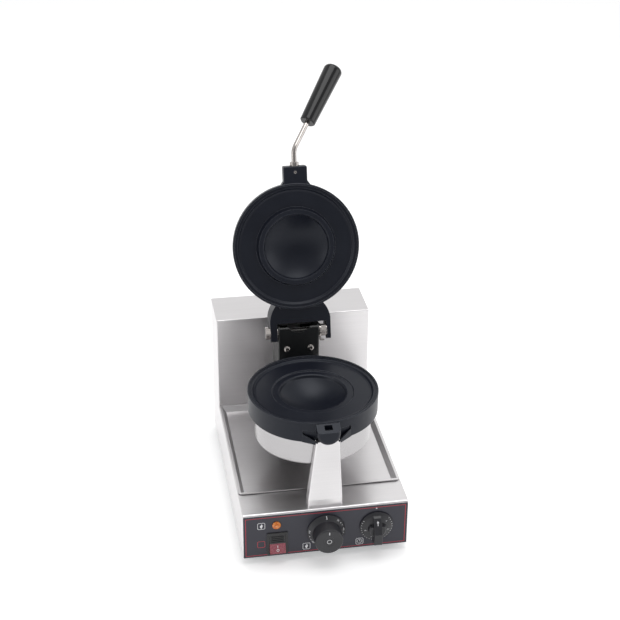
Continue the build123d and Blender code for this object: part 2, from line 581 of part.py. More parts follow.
def hinge_bracket():
    """U channel with round ears for the pin, a notched face and inward feet at the back."""
    top = HINGE_Z + 10.5
    side = [(FACE_Y, BRACKET_LOW), (REAR_FRONT, BRACKET_LOW), (REAR_FRONT, HINGE_Z - 12),
            (REAR_FRONT - 14, HINGE_Z + STOP_RISE), (HINGE_Y + 8, HINGE_Z + STOP_RISE), (HINGE_Y + 8, top),
            (FACE_Y, top)]
    section = Plane.YZ * make_face(closed(side))
    body = extrude(section, BRACKET_X, both=True)
    body += rod_x(14.0, -BRACKET_X, BRACKET_X, HINGE_Y, HINGE_Z)
    body -= block(-40, 40, FACE_Y - 10, FACE_Y, HINGE_Z - 20, HINGE_Z + 20)
    uprights = [e for e in body.edges().filter_by(Axis.Z) if abs(e.center().Y - FACE_Y) < 0.1]
    body = fillet(uprights, 2.5)
    inner_x = BRACKET_X - BRACKET_T
    hollow = block(-inner_x, inner_x, FACE_Y + BRACKET_T, REAR_FRONT + 10, BRACKET_LOW - 5, HINGE_Z + 30)
    channel = body - hollow
    for sx in (-1, 1):
        x0, x1 = sorted((sx * 11.0, sx * (inner_x + 0.5)))
        channel += block(x0, x1, REAR_FRONT - BRACKET_T, REAR_FRONT, BRACKET_LOW, HINGE_Z - 12)
    channel -= rod_y(22.0, 1.0, FACE_Y - 5, FACE_Y + 8, top + 14.5)
    channel -= rod_x(PIN_R + RUN_GAP, -40, 40, HINGE_Y, HINGE_Z)
    channel -= rod_y(6.1, 0, FACE_Y - 5, FACE_Y + 8, CONDUIT_Z)
    for x, z in mount_bolt_places():
        channel -= rod_y(M6 + 0.1, x, REAR_FRONT - 8, REAR_FRONT + 5, z)
    for x in (-BUTTON_X, BUTTON_X):
        channel -= rod_y(M6 + 0.1, x, FACE_Y - 5, FACE_Y + 8, SCREW_Z)
    for x in (-ARM_BOLT_X, ARM_BOLT_X):
        channel -= rod_y(M6 + 0.1, x, FACE_Y - 5, FACE_Y + 8, ARM_MID)
    return channel


def bracket_stiffener():
    """Strip behind the bracket's face, tapped for the button screws."""
    plate = block(-27, 27, FACE_Y + BRACKET_T, FACE_Y + BRACKET_T + 3, SCREW_Z - 9, SCREW_Z + 9)
    for x in (-BUTTON_X, BUTTON_X):
        plate -= rod_y(M6 + FIT_GAP, x, FACE_Y, FACE_Y + 10, SCREW_Z)
    return plate


def button_screw(x):
    """Button-head socket screw through the bracket face."""
    dome = closed([(0, 0), (5.4, 0), (5.4, 0.6), (4.6, 2.2), (3.0, 3.1), (0, 3.3)])
    screw = spin_front(dome, x, FACE_Y, SCREW_Z)
    screw += rod_y(M6, x, FACE_Y, FACE_Y + 11, SCREW_Z)
    socket = Pos(x, FACE_Y - 1.2, SCREW_Z) * Rot(90, 0, 0) * hexagon(4.0, 3.0)
    return screw - socket


def arm_bolt(x):
    """Bolt from inside the bracket into the rear arm of the lower plate."""
    y = FACE_Y + BRACKET_T
    head = Pos(x, y, ARM_MID) * Rot(-90, 0, 0) * hexagon(10.0, 4.0)
    return head + rod_y(M6, x, FACE_Y - 14, y, ARM_MID)


def mount_bolt(x, z):
    """Bolt from inside the bracket into the backing plate of the rear housing."""
    y = REAR_FRONT - BRACKET_T
    head = Pos(x, y, z) * Rot(90, 0, 0) * hexagon(10.0, 4.0)
    return head + rod_y(M6, x, y, REAR_FRONT + SHEET + 8, z)


def backing_plate():
    y = REAR_FRONT + SHEET
    plate = block(-34, 34, y, y + 4, BRACKET_LOW, HINGE_Z - 12)
    plate -= rod_y(8.0, 0, y - 1, y + 6, CONDUIT_Z)
    for x, z in mount_bolt_places():
        plate -= rod_y(M6 + FIT_GAP, x, y - 1, y + 6, z)
    return plate


def conduit():
    """Straight metal conduit that takes the heater wires from the rear housing to the drum."""
    y0, y1 = PLATE_Y + DRUM_R - 6, REAR_FRONT + 22
    return rod_y(6.0, 0, y0, y1, CONDUIT_Z) - rod_y(4.6, 0, y0 - 1, y1 + 1, CONDUIT_Z)


def conduit_nut(y):
    ring = Pos(0, y, CONDUIT_Z) * Rot(-90, 0, 0) * hexagon(17.0, 4.0)
    return ring - rod_y(6.0 + FIT_GAP, 0, y - 1, y + 6, CONDUIT_Z)


# ---- hinge pin stack, drawn closed; it turns with the upper plate -----------------------------
def hinge_pin():
    head = Pos(YOKE_LEFT - 7.5, HINGE_Y, HINGE_Z) * Rot(0, 90, 0) * hexagon(19.0, 7.5)
    head &= rod_x(10.4, YOKE_LEFT - 7.5, YOKE_LEFT, HINGE_Y, HINGE_Z)
    return head + rod_x(PIN_R, YOKE_LEFT, YOKE_RIGHT - 0.5, HINGE_Y, HINGE_Z)


def pin_ring(outer, x0, x1):
    return rod_x(outer, x0, x1, HINGE_Y, HINGE_Z) - rod_x(PIN_R + FIT_GAP, x0 - 1, x1 + 1, HINGE_Y, HINGE_Z)


def hinge_nut():
    x0 = BRACKET_X + 3.2
    nut = Pos(x0, HINGE_Y, HINGE_Z) * Rot(0, 90, 0) * hexagon(19.0, 8.0)
    nut &= rod_x(10.4, x0, x0 + 8, HINGE_Y, HINGE_Z)
    return nut - rod_x(PIN_R + FIT_GAP, x0 - 1, x0 + 9, HINGE_Y, HINGE_Z)


def tab_washer():
    """Locking washer whose bent tail sits in front of the nut when the plate is closed."""
    x0 = BRACKET_X + 1.7
    ring = pin_ring(10.5, x0, x0 + 1.5)
    tail = block(x0, x0 + 1.5, HINGE_Y + 7, HINGE_Y + 17.5, HINGE_Z - 3.5, HINGE_Z + 3.5)
    tail += block(x0, x0 + 7.0, HINGE_Y + 16, HINGE_Y + 17.5, HINGE_Z - 3.5, HINGE_Z + 3.5)
    return ring + tail


# ---- upper plate, drawn closed ----------------------------------------------------------------
def yoke():
    """Block behind the disc with round shoulders and two ears for the hinge pin."""
    y_root, y_shoulder = PLATE_Y + 88.0, HINGE_Y - 22.0
    y_waist, waist = HINGE_Y - 52.0, YOKE_HALF - 16.0
    bulge = (YOKE_HALF - 4.5, HINGE_Y - 37.0)
    right = [(YOKE_HALF, YOKE_INNER), (YOKE_HALF, y_shoulder)]
    left = [(-x, y) for x, y in reversed(right)]
    outline = Polyline(*right) + ThreePointArc((YOKE_HALF, y_shoulder), bulge, (waist, y_waist))
    outline += Polyline((waist, y_waist), (waist, y_root), (-waist, y_root), (-waist, y_waist))
    outline += ThreePointArc((-waist, y_waist), (-bulge[0], bulge[1]), (-YOKE_HALF, y_shoulder))
    outline += Polyline(*left) + Line(left[-1], right[0])
    web = extrude(Pos(YOKE_MID, 0, YOKE_LOW) * make_face(outline), YOKE_HIGH - YOKE_LOW)
    neck = block(YOKE_MID - waist, YOKE_MID + waist, y_root, PLATE_Y + PLATE_R - 1, MATE_Z + 5, YOKE_LOW + 2)
    return web + neck + ear(YOKE_LEFT, LEFT_EAR_T) + ear(YOKE_RIGHT - RIGHT_EAR_T, RIGHT_EAR_T)


def ear(x0, thickness):
    """Side cheek that blends from the web's back into a round end on the hinge axis."""
    rise = YOKE_HIGH - HINGE_Z
    tangent = degrees(atan2(1.0, 1.2))
    end_y, end_z = EAR_R * cos(radians(tangent)), EAR_R * sin(radians(tangent))
    low_y = sqrt(EAR_R ** 2 - 8.0 ** 2)
    outline = Polyline((low_y, -8.0), (-17.0, -8.0), (-17.0, rise), (-10.0, rise), (end_y, end_z))
    outline += ThreePointArc((end_y, end_z), (EAR_R, 0), (low_y, -8.0))
    face = Plane((x0, HINGE_Y, HINGE_Z), x_dir=(0, 1, 0), z_dir=(1, 0, 0)) * make_face(outline)
    return extrude(face, thickness)


def handle_boss():
    """Flat block for the handle rod, widening a little where it meets the rim."""
    low, high = MATE_Z + BOSS_FACE, MATE_Z + BOSS_FACE + BOSS_T
    boss = block(BOSS_X - BOSS_HALF, BOSS_X + BOSS_HALF, BOSS_END, PLATE_Y - 85, low, high)
    boss = fillet(boss.edges().filter_by(Axis.Z).group_by(Axis.Y)[0], 2.5)
    boss = fillet(boss.edges().filter_by(Axis.Y), 2.0)
    for side in (-1, 1):
        x = BOSS_X + side * (BOSS_HALF - 2.0)
        root = closed([(x, PLATE_Y - 94), (x + side * 9, PLATE_Y - 94), (x + side * 2, PLATE_Y - 104)])
        boss += extrude(Pos(0, 0, low + 0.6) * make_face(root), 11.0)
    return boss


def upper_plate():
    plate = Pos(0, PLATE_Y, MATE_Z) * Rot(180, 0, 0) * casting(2.5, RING_R - 3.5, LID_SKIRT_H)
    extras = yoke() + handle_boss()
    extras -= rod_z(PLATE_R - 1.5, 0, PLATE_Y, MATE_Z - 5, MATE_Z + LID_SKIRT_H - 2)
    extras -= rod_z(COVER_R + 0.6, 0, PLATE_Y, MATE_Z - 5, MATE_Z + 80)
    plate += extras
    plate -= rod_y(HANDLE_R + FIT_GAP, BOSS_X, BOSS_END - 1, BOSS_END + 20, ROD_Z)
    plate -= rod_z(M5 + FIT_GAP, BOSS_X, BOSS_END + 9, MATE_Z, ROD_Z)
    plate -= rod_x(PIN_R + FIT_GAP, -60, 60, HINGE_Y, HINGE_Z)
    return plate


def upper_cover():
    """Stainless cover behind the upper plate."""
    z0, z1 = MATE_Z - WEB_Z, MATE_Z + COVER_H
    outline = [(0, z1), (COVER_R - 5, z1), (COVER_R - 1.5, z1 - 1.5), (COVER_R, z1 - 5), (COVER_R, z0),
               (COVER_R - 1, z0), (COVER_R - 1, z1 - 5.4), (COVER_R - 2.3, z1 - 2.6), (COVER_R - 5.4, z1 - 1),
               (0, z1 - 1)]
    cover = spin(closed(outline), 0, PLATE_Y)
    for x, y in around(STUD_COUNT, STUD_PITCH_R, STUD_START):
        cover -= rod_z(2.6, x, PLATE_Y - y, z1 - 3, z1 + 2)
    return cover - rod_z(6.1, 0, PLATE_Y + BUSH_SETBACK, z1 - 4, z1 + 3)


def cable_bush():
    """Grommet in the back of the cover for the heater wires."""
    z1 = MATE_Z + COVER_H
    outline = [(3.5, z1 - 5), (7.6, z1 - 5), (7.6, z1 - 1.1), (6.0, z1 - 1.1), (6.0, z1 + 0.1),
               (8.6, z1 + 0.1), (8.6, z1 + 1.6), (7.0, z1 + 3), (3.5, z1 + 3)]
    return spin(closed(outline), 0, PLATE_Y + BUSH_SETBACK)


def handle_axis():
    """Unit direction of the outer run of the bent rod, closed pose."""
    bend, roll = radians(HANDLE_BEND), radians(HANDLE_ROLL)
    return Vector(sin(bend) * cos(roll), -cos(bend), sin(bend) * sin(roll))


def handle_rod():
    start = Vector(BOSS_X, BOSS_END + 19.0, ROD_Z)
    tip = BEND_CORNER + handle_axis() * (GRIP_START + 45.0)
    path = FilletPolyline(start, BEND_CORNER, tip, radius=20.0)
    return sweep(Plane(start, z_dir=(0, -1, 0)) * Circle(HANDLE_R), path=path)


def lock_nut():
    nut = Pos(BOSS_X, BOSS_END, ROD_Z) * Rot(90, 0, 0) * hexagon(13.0, 6.0)
    nut &= rod_y(7.1, BOSS_X, BOSS_END - 6, BOSS_END, ROD_Z)
    return nut - rod_y(HANDLE_R + FIT_GAP, BOSS_X, BOSS_END - 8, BOSS_END + 1, ROD_Z)


def set_screw():
    y = BOSS_END + 9
    low = MATE_Z + BOSS_FACE + 0.2
    screw = rod_z(M5, BOSS_X, y, low, ROD_Z - HANDLE_R)
    return screw - Pos(BOSS_X, y, low - 0.3) * hexagon(2.5, 2.6)


def handle_grip():
    """Tapered grip with a rounded end, bored for the rod."""
    foot = 1.6
    cap = 7.0
    outline = Polyline((0, 0), (GRIP_R0 - foot, 0), (GRIP_R0, foot), (GRIP_R1, GRIP_L - cap))
    outline += ThreePointArc((GRIP_R1, GRIP_L - cap), (GRIP_R1 - 2.4, GRIP_L - 2.0),
                             (GRIP_R1 - cap, GRIP_L))
    outline += Polyline((GRIP_R1 - cap, GRIP_L), (0, GRIP_L), (0, 0))
    body = revolve(make_face(Plane.XZ * outline), Axis.Z)
    body -= rod_z(HANDLE_R + FIT_GAP, 0, 0, -1, 45.5)
    return Plane(BEND_CORNER + handle_axis() * GRIP_START, z_dir=handle_axis()) * body


# ---- controls ---------------------------------------------------------------------------------
def lamp_lens():
    """Amber dome with a rim, plugged into the lamp body."""
    outline = Polyline((0, -7), (3.8, -7), (3.8, 0.2), (6.5, 0.2), (6.5, 1.6))
    outline += dome_arc(6.5, 1.6, 3.4)
    outline += Line((0, 5.0), (0, -7))
    return spin_front(outline, LAMP_X, FRONT, LAMP_Z)


def lamp_body():
    outline = [(0, -24), (5.0, -24), (5.0, -0.02), (3.85, -0.02), (3.85, -7.2), (0, -7.2)]
    body = spin_front(closed(outline), LAMP_X, FRONT, LAMP_Z)
    for x in (LAMP_X - 2.4, LAMP_X + 2.4):
        body += block(x - 0.4, x + 0.4, FRONT + 23.5, FRONT + 32, LAMP_Z - 1.6, LAMP_Z + 1.6)
    return body


def switch_body():
    """Bezel and box of the rocker switch, with side bores for the rocker's trunnions."""
    z = SWITCH_Z
    bezel = block(SWITCH_X - SWITCH_W / 2, SWITCH_X + SWITCH_W / 2, FRONT - 2.0, FRONT,
                  z - SWITCH_H / 2, z + SWITCH_H / 2)
    bezel = fillet(bezel.edges().filter_by(Axis.Y), 1.5)
    bezel = chamfer(bezel.edges().group_by(Axis.Y)[0], 0.6)
    box_x, box_z = SWITCH_BOX_X, SWITCH_BOX_Z
    box = block(SWITCH_X - box_x, SWITCH_X + box_x, FRONT - 0.5, FRONT + 29, z - box_z, z + box_z)
    cavity = block(SWITCH_X - box_x + 1.2, SWITCH_X + box_x - 1.2, FRONT - 5, FRONT + 21,
                   z - box_z + 0.9, z + box_z - 0.9)
    body = bezel + box - cavity
    body -= rod_x(1.5 + RUN_GAP, SWITCH_X - box_x + 0.3, SWITCH_X + box_x - 0.3, PIVOT_Y, z)
    for x in (SWITCH_X - 7, SWITCH_X, SWITCH_X + 7):
        body += block(x - 0.4, x + 0.4, FRONT + 28.5, FRONT + 36, z - 3, z + 3)
    return body


def rocker_half(lower):
    """One half of the rocker's button, drawn level, with a shallow valley in the middle."""
    z = SWITCH_Z
    sign = -1 if lower else 1
    end = ROCKER_R + 1
    profile = [(PIVOT_Y + 6, 0), (PIVOT_Y + 6, sign * 3), (PIVOT_Y + 1.5, sign * end),
               (FRONT - 5.0, sign * end), (FRONT - 2.6, 0)]
    face = Plane((SWITCH_X, 0, z), x_dir=(0, 1, 0), z_dir=(1, 0, 0)) * make_face(closed(profile))
    half = extrude(face, ROCKER_W / 2, both=True)
    half &= rod_x(ROCKER_R, SWITCH_X - 20, SWITCH_X + 20, PIVOT_Y, z)
    if lower:
        return half - rod_x(2.5, SWITCH_X - 20, SWITCH_X + 20, PIVOT_Y, z)
    for i in range(4):
        groove_z = z + 3.4 + 3.0 * i
        depth = FRONT - 2.6 - 2.4 * (groove_z - z) / end
        half -= block(SWITCH_X - 9.5, SWITCH_X + 9.5, depth - 1, depth + 1.2, groove_z - 0.8, groove_z + 0.8)
    core = rod_x(2.5, SWITCH_X - ROCKER_W / 2, SWITCH_X + ROCKER_W / 2, PIVOT_Y, z)
    reach = SWITCH_BOX_X - 0.5
    trunnion = rod_x(1.5, SWITCH_X - reach, SWITCH_X + reach, PIVOT_Y, z)
    return half + core + trunnion


def tilt_rocker(solid):
    """Rest pose: the lower, red end stands out and the upper end is pressed in."""
    return solid.rotate(Axis((SWITCH_X, PIVOT_Y, SWITCH_Z), (1, 0, 0)), -ROCKER_TILT)


def dial_shaft(x):
    """Round shaft with a flat for the knob."""
    shaft = rod_y(SHAFT_R, x, FRONT - 16, FRONT + 24, DIAL_Z)
    return shaft - block(x - 4, x + 4, FRONT - 17, FRONT - 4, DIAL_Z + 1.6, DIAL_Z + 4)


def shaft_socket(x):
    """Blind socket that matches the flatted shaft."""
    socket = rod_y(SHAFT_R + FIT_GAP, x, FRONT - SOCKET_DEPTH, FRONT, DIAL_Z)
    return socket - block(x - 4, x + 4, FRONT - 17, FRONT - 4, DIAL_Z + 1.6 + FIT_GAP, DIAL_Z + 4)


def thermostat_knob():
    """Dial skirt and tall round cap in one piece."""
    top = KNOB_REACH
    outline = Polyline((0, 1.0), (KNOB_SKIRT_R - 0.6, 1.0), (KNOB_SKIRT_R, 1.6), (KNOB_SKIRT_R, 2.4),
                       (KNOB_CAP_R + 1.0, 7.0), (KNOB_CAP_R, 8.0), (KNOB_CAP_R - 0.8, top - 2.4))
    outline += ThreePointArc((KNOB_CAP_R - 0.8, top - 2.4), (KNOB_CAP_R - 1.5, top - 0.7),
                             (KNOB_CAP_R - 3.2, top))
    outline += Polyline((KNOB_CAP_R - 3.2, top), (8.2, top), (7.8, top - 0.6), (0, top - 0.6), (0, 1.0))
    knob = spin_front(outline, THERMO_X, FRONT, DIAL_Z)
    knob -= rod_y(KNOB_HOLLOW_R, THERMO_X, FRONT - 3.0, FRONT, DIAL_Z)
    return knob - shaft_socket(THERMO_X)


def timer_knob():
    """Dial skirt with a wedge-shaped bar grip across it."""
    outline = [(0, 1.0), (TIMER_SKIRT_R - 0.6, 1.0), (TIMER_SKIRT_R, 1.6), (TIMER_SKIRT_R, 2.6),
               (21.8, 5.0), (14.0, 8.0), (0, 9.0)]
    skirt = spin_front(closed(outline), TIMER_X, FRONT, DIAL_Z)
    side = [(FRONT - 3, DIAL_Z - 25.5), (FRONT - 18.5, DIAL_Z - 24.0), (FRONT - 20.5, DIAL_Z - 21.5),
            (FRONT - 20.5, DIAL_Z - 4), (FRONT - 9.0, DIAL_Z + 19.0), (FRONT - 3, DIAL_Z + 22.0)]
    face = Plane((TIMER_X, 0, 0), x_dir=(0, 1, 0), z_dir=(1, 0, 0)) * make_face(closed(side))
    bar = extrude(face, TIMER_BAR / 2, both=True)
    rounded = [e for e in bar.edges() if abs(e.center().X - TIMER_X) > 5 and e.center().Y < FRONT - 4]
    bar = fillet(rounded, 1.2)
    hub_outline = closed([(0, 2), (15.5, 2), (13.5, 12.5), (11.5, 14.0), (0, 14.0)])
    hub = spin_front(hub_outline, TIMER_X, FRONT, DIAL_Z)
    hub -= block(TIMER_X - 30, TIMER_X + 30, FRONT - 20, FRONT, DIAL_Z + 6, DIAL_Z + 30)
    knob = skirt + hub + bar
    knob -= rod_y(KNOB_HOLLOW_R, TIMER_X, FRONT - 3.0, FRONT, DIAL_Z)
    return knob - shaft_socket(TIMER_X)


def control_body(x, width, height, depth):
    """Housing of the thermostat or timer behind the front wall, bored for its shaft."""
    y0 = STEEL_FRONT + SHEET
    low, high = DIAL_Z - height / 2, DIAL_Z + height / 2
    body = block(x - width / 2, x + width / 2, y0 + 2.0, y0 + depth, low, high)
    body += block(x - 19, x + 19, y0, y0 + 2.0, DIAL_Z - 9, DIAL_Z + 9)
    body += rod_y(4.9, x, FRONT, y0 + 1, DIAL_Z)
    body -= rod_y(SHAFT_R + RUN_GAP, x, FRONT - 1, FRONT + 24.3, DIAL_Z)
    for side in (-CONTROL_SCREW_X, CONTROL_SCREW_X):
        body -= rod_y(1.5 + FIT_GAP, x + side, y0 - 1, y0 + 7, DIAL_Z)
    for tab_x in (x - 8, x + 8):
        body += block(tab_x - 3, tab_x + 3, y0 + depth - 0.5, y0 + depth + 8, DIAL_Z - 5.4, DIAL_Z - 4.6)
    return body


def control_screws(x):
    """Two small screws through the overlay, hidden under the knob."""
    pair = []
    for side in (-CONTROL_SCREW_X, CONTROL_SCREW_X):
        head = rod_y(2.7, x + side, FRONT - 1.4, FRONT, DIAL_Z)
        pair.append(head + rod_y(1.5, x + side, FRONT, FRONT + 8.0, DIAL_Z))
    return pair


def terminal_block():
    """Six-way ceramic terminal strip on the bottom cover."""
    z0 = BASE_Z + SHEET
    y0 = MID_Y + 60
    strip = block(-95, -35, y0, y0 + 22, z0, z0 + 14)
    for i in range(6):
        x = -90 + 10 * i
        strip -= block(x - 3.6, x + 3.6, y0 - 3, y0 + 5, z0 + 4, z0 + 15)
        strip -= block(x - 3.6, x + 3.6, y0 + 17, y0 + 25, z0 + 4, z0 + 15)
    return strip


def contactor():
    """Switching relay for the heaters, on the bottom cover."""
    z0 = BASE_Z + SHEET
    y0 = MID_Y + 20
    body = block(20, 65, y0, y0 + 70, z0, z0 + 8) + block(24, 61, y0 + 8, y0 + 62, z0 + 8, z0 + 46)
    for x in (32, 42.5, 53):
        for y in (y0 + 4, y0 + 66):
            body += rod_z(2.6, x, y, z0 + 7, z0 + 11)
    return body


# ---- write every node -------------------------------------------------------------------------
def write_base():
    write("base_housing", base_housing())
    write("control_panel", control_panel())
    write("bottom_cover", bottom_cover())
    for name, (x, y) in zip(("front_left", "rear_left", "front_right", "rear_right"), foot_places()):
        write(f"foot_{name}", foot(x, y))
    write("foot_screws", *[foot_screw(x, y) for x, y in foot_places()])
    write("foot_nuts", *[foot_nut(x, y) for x, y in foot_places()])
    write("rear_housing", rear_housing())
    write("rear_panel", rear_panel())
    write("rear_panel_screws", *[panel_screw(x, z) for x, z in rear_panel_places()])
    write("cable_gland", cable_gland())
    write("cable_gland_nut", gland_nut())
    write("drip_tray", drip_tray())
    write("terminal_block", terminal_block())
    write("contactor", contactor())


def write_controls():
    write("pilot_lamp_lens", lamp_lens())
    write("pilot_lamp_body", lamp_body())
    write("switch_body", switch_body())
    write("switch_rocker", tilt_rocker(rocker_half(False)))
    write("switch_rocker_lens", tilt_rocker(rocker_half(True)))
    write("thermostat_body", control_body(THERMO_X, 34, 40, 30))
    write("thermostat_shaft", dial_shaft(THERMO_X))
    write("thermostat_knob", thermostat_knob())
    write("timer_body", control_body(TIMER_X, 44, 44, 36))
    write("control_screws", *control_screws(THERMO_X), *control_screws(TIMER_X))
    write("timer_shaft", dial_shaft(TIMER_X))
    write("timer_knob", timer_knob())


def write_lower():
    write("lower_plate", lower_plate())
    write("lower_drum", lower_drum())
    centre = Pos(0, PLATE_Y, PLATE_Z)
    write("lower_heating_element", centre * heating_element(WEB_Z - 4.2, WEB_Z - 38))
    write("lower_insulation", centre * insulation(WEB_Z - 32, WEB_Z - 12))
    studs = around(STUD_COUNT, STUD_PITCH_R, STUD_START)
    stud_top = PLATE_Z + WEB_Z + 1
    write("lower_studs", *[rod_z(M5, x, PLATE_Y + y, DRUM_Z - STUD_TAIL, stud_top) for x, y in studs])
    write("lower_cap_nuts", *[Pos(x, PLATE_Y + y, DRUM_Z) * Rot(180, 0, 0) * cap_nut() for x, y in studs])
    write("front_leg", front_leg())
    write("front_leg_screws", *leg_screws())
    write("hinge_bracket", hinge_bracket())
    write("bracket_stiffener", bracket_stiffener())
    write("bracket_screws", button_screw(-BUTTON_X), button_screw(BUTTON_X))
    mount_bolts = [mount_bolt(x, z) for x, z in mount_bolt_places()]
    write("bracket_bolts", arm_bolt(-ARM_BOLT_X), arm_bolt(ARM_BOLT_X), *mount_bolts)
    write("hinge_backing_plate", backing_plate())
    write("heater_conduit", conduit())
    nut_places = (PLATE_Y + DRUM_R, FACE_Y + BRACKET_T, REAR_FRONT + SHEET + 4)
    write("conduit_nuts", *[conduit_nut(y) for y in nut_places])


def write_lid():
    write_open("upper_plate", upper_plate())
    write_open("upper_cover", upper_cover())
    flip = Pos(0, PLATE_Y, MATE_Z) * Rot(180, 0, 0)
    write_open("upper_heating_element", flip * heating_element(WEB_Z - 4.2, WEB_Z - 26))
    write_open("upper_insulation", flip * insulation(WEB_Z - 32, WEB_Z - 12))
    top = MATE_Z + COVER_H
    studs = [(x, PLATE_Y - y) for x, y in around(STUD_COUNT, STUD_PITCH_R, STUD_START)]
    write_open("upper_studs", *[rod_z(M5, x, y, MATE_Z - WEB_Z - 1, top + STUD_TAIL) for x, y in studs])
    write_open("upper_cap_nuts", *[Pos(x, y, top) * cap_nut() for x, y in studs])
    write_open("upper_cable_bush", cable_bush())
    write_open("hinge_pin", hinge_pin())
    write_open("hinge_spacer", pin_ring(11.0, YOKE_LEFT + LEFT_EAR_T, -BRACKET_X - 0.2))
    write_open("hinge_washers", pin_ring(11.0, BRACKET_X + 0.2, BRACKET_X + 1.7), tab_washer(),
               pin_ring(10.0, BRACKET_X + 11.2, YOKE_RIGHT - RIGHT_EAR_T))
    write_open("hinge_nut", hinge_nut())
    write_open("handle_rod", handle_rod())
    write_open("handle_lock_nut", lock_nut())
    write_open("handle_set_screw", set_screw())
    write_open("handle_grip", handle_grip())


write_base()
write_controls()
write_lower()
write_lid()
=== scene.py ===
"""Looks of the counter-top press iron: materials, printed marks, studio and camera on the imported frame."""

import json
from math import atan2, cos, pi, radians, sin

import bmesh
import bpy
from mathutils import Matrix, Vector


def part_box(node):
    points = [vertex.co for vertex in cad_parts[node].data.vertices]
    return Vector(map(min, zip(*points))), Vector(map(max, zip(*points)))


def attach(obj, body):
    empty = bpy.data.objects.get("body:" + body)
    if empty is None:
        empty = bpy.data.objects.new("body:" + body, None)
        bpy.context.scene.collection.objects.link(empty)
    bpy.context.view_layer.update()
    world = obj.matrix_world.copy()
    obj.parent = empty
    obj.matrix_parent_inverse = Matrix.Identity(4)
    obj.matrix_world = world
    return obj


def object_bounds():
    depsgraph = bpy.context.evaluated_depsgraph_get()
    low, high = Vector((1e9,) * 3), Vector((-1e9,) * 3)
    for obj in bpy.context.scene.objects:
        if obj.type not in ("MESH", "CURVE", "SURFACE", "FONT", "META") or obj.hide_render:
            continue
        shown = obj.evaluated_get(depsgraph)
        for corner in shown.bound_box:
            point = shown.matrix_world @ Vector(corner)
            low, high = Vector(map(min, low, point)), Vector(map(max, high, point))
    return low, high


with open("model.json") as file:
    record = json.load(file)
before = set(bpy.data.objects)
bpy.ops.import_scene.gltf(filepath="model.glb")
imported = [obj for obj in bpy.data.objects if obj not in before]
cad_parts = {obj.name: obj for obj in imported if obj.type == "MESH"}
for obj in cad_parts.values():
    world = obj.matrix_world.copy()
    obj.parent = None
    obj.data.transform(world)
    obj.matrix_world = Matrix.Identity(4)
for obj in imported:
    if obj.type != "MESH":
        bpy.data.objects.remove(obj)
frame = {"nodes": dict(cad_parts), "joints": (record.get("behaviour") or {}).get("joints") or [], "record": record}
cad_low, cad_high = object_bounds()

MM = 0.001
INK = 0.06 * MM                         # thickness of printed marks
LID = next(joint for joint in frame["joints"] if joint["name"] == "lid_hinge")
OPEN_DEG = LID["range_deg"][1]          # how far the lid stands open at rest
SHELL_RADIUS = 90 * MM                  # near enough the drum's and the cover's, for their brushing
PLATED = (0.46, 0.43, 0.41, 1)          # colour of plated steel
SQUARE, SQUARE_CORNER, SQUARE_LINE = 11.0 * MM, 1.8 * MM, 0.7 * MM   # pictogram frames

# ---- camera and studio --------------------------------------------------------------------------
CAMERA_PLACE = (-0.3174, -1.8572, 1.3202)
CAMERA_YAW = 9.952            # degrees to the right of straight ahead
CAMERA_PITCH = 27.925         # degrees down
CAMERA_ROLL = 0.432
CAMERA_LENS = 79.86           # mm on a 36 mm sensor

WORLD_STRENGTH = 0.86
WORLD_GREY = (0.36, 0.36, 0.37, 1)   # what the metal reflects from the viewer's side
WORLD_WHITE = (1.0, 1.0, 1.0, 1)
GREY_END, WHITE_START = 0.02, 0.42   # from 0 at the viewer's side to 1 behind the machine
FLOOR_HALF = 30.0             # m from the middle of the floor to its edges
FLOOR_GLOW = 0.24             # a little light of its own, like a lit studio table
# name, place in m, width and height in m, power in W
SOFTBOXES = (
    ("softbox_top", (0.2, 0.1, 2.4), 1.8, 1.4, 20),
    ("softbox_left", (-1.9, -0.7, 1.0), 0.8, 1.4, 5),
    ("softbox_right", (1.9, -0.5, 1.1), 0.9, 1.4, 6),
)


def make_camera():
    """Camera at the height and angle of a product shot, a little to the left."""
    camera = bpy.data.cameras.new("camera")
    camera.lens = CAMERA_LENS
    camera.sensor_width = 36.0
    turn = Matrix.Rotation(-radians(CAMERA_YAW), 4, "Z")
    tilt = Matrix.Rotation(pi / 2 - radians(CAMERA_PITCH), 4, "X")
    roll = Matrix.Rotation(radians(CAMERA_ROLL), 4, "Z")
    holder = bpy.data.objects.new("camera", camera)
    holder.matrix_world = Matrix.Translation(CAMERA_PLACE) @ turn @ tilt @ roll
    bpy.context.scene.collection.objects.link(holder)
    bpy.context.scene.camera = holder


def make_world():
    """White cyclorama that is greyer on the viewer's side."""
    world = bpy.data.worlds.new("studio")
    world.use_nodes = True
    bpy.context.scene.world = world
    tree = world.node_tree
    background = tree.nodes["Background"]
    coords = tree.nodes.new("ShaderNodeTexCoord")
    split = tree.nodes.new("ShaderNodeSeparateXYZ")
    ramp = tree.nodes.new("ShaderNodeValToRGB")
    to_unit = tree.nodes.new("ShaderNodeMapRange")
    to_unit.inputs["From Min"].default_value = -1.0
    tree.links.new(coords.outputs["Generated"], split.inputs[0])
    tree.links.new(split.outputs["Y"], to_unit.inputs["Value"])
    tree.links.new(to_unit.outputs[0], ramp.inputs[0])
    tree.links.new(ramp.outputs[0], background.inputs["Color"])
    grey, white = ramp.color_ramp.elements
    grey.position, white.position = GREY_END, WHITE_START
    grey.color, white.color = WORLD_GREY, WORLD_WHITE
    background.inputs["Strength"].default_value = WORLD_STRENGTH


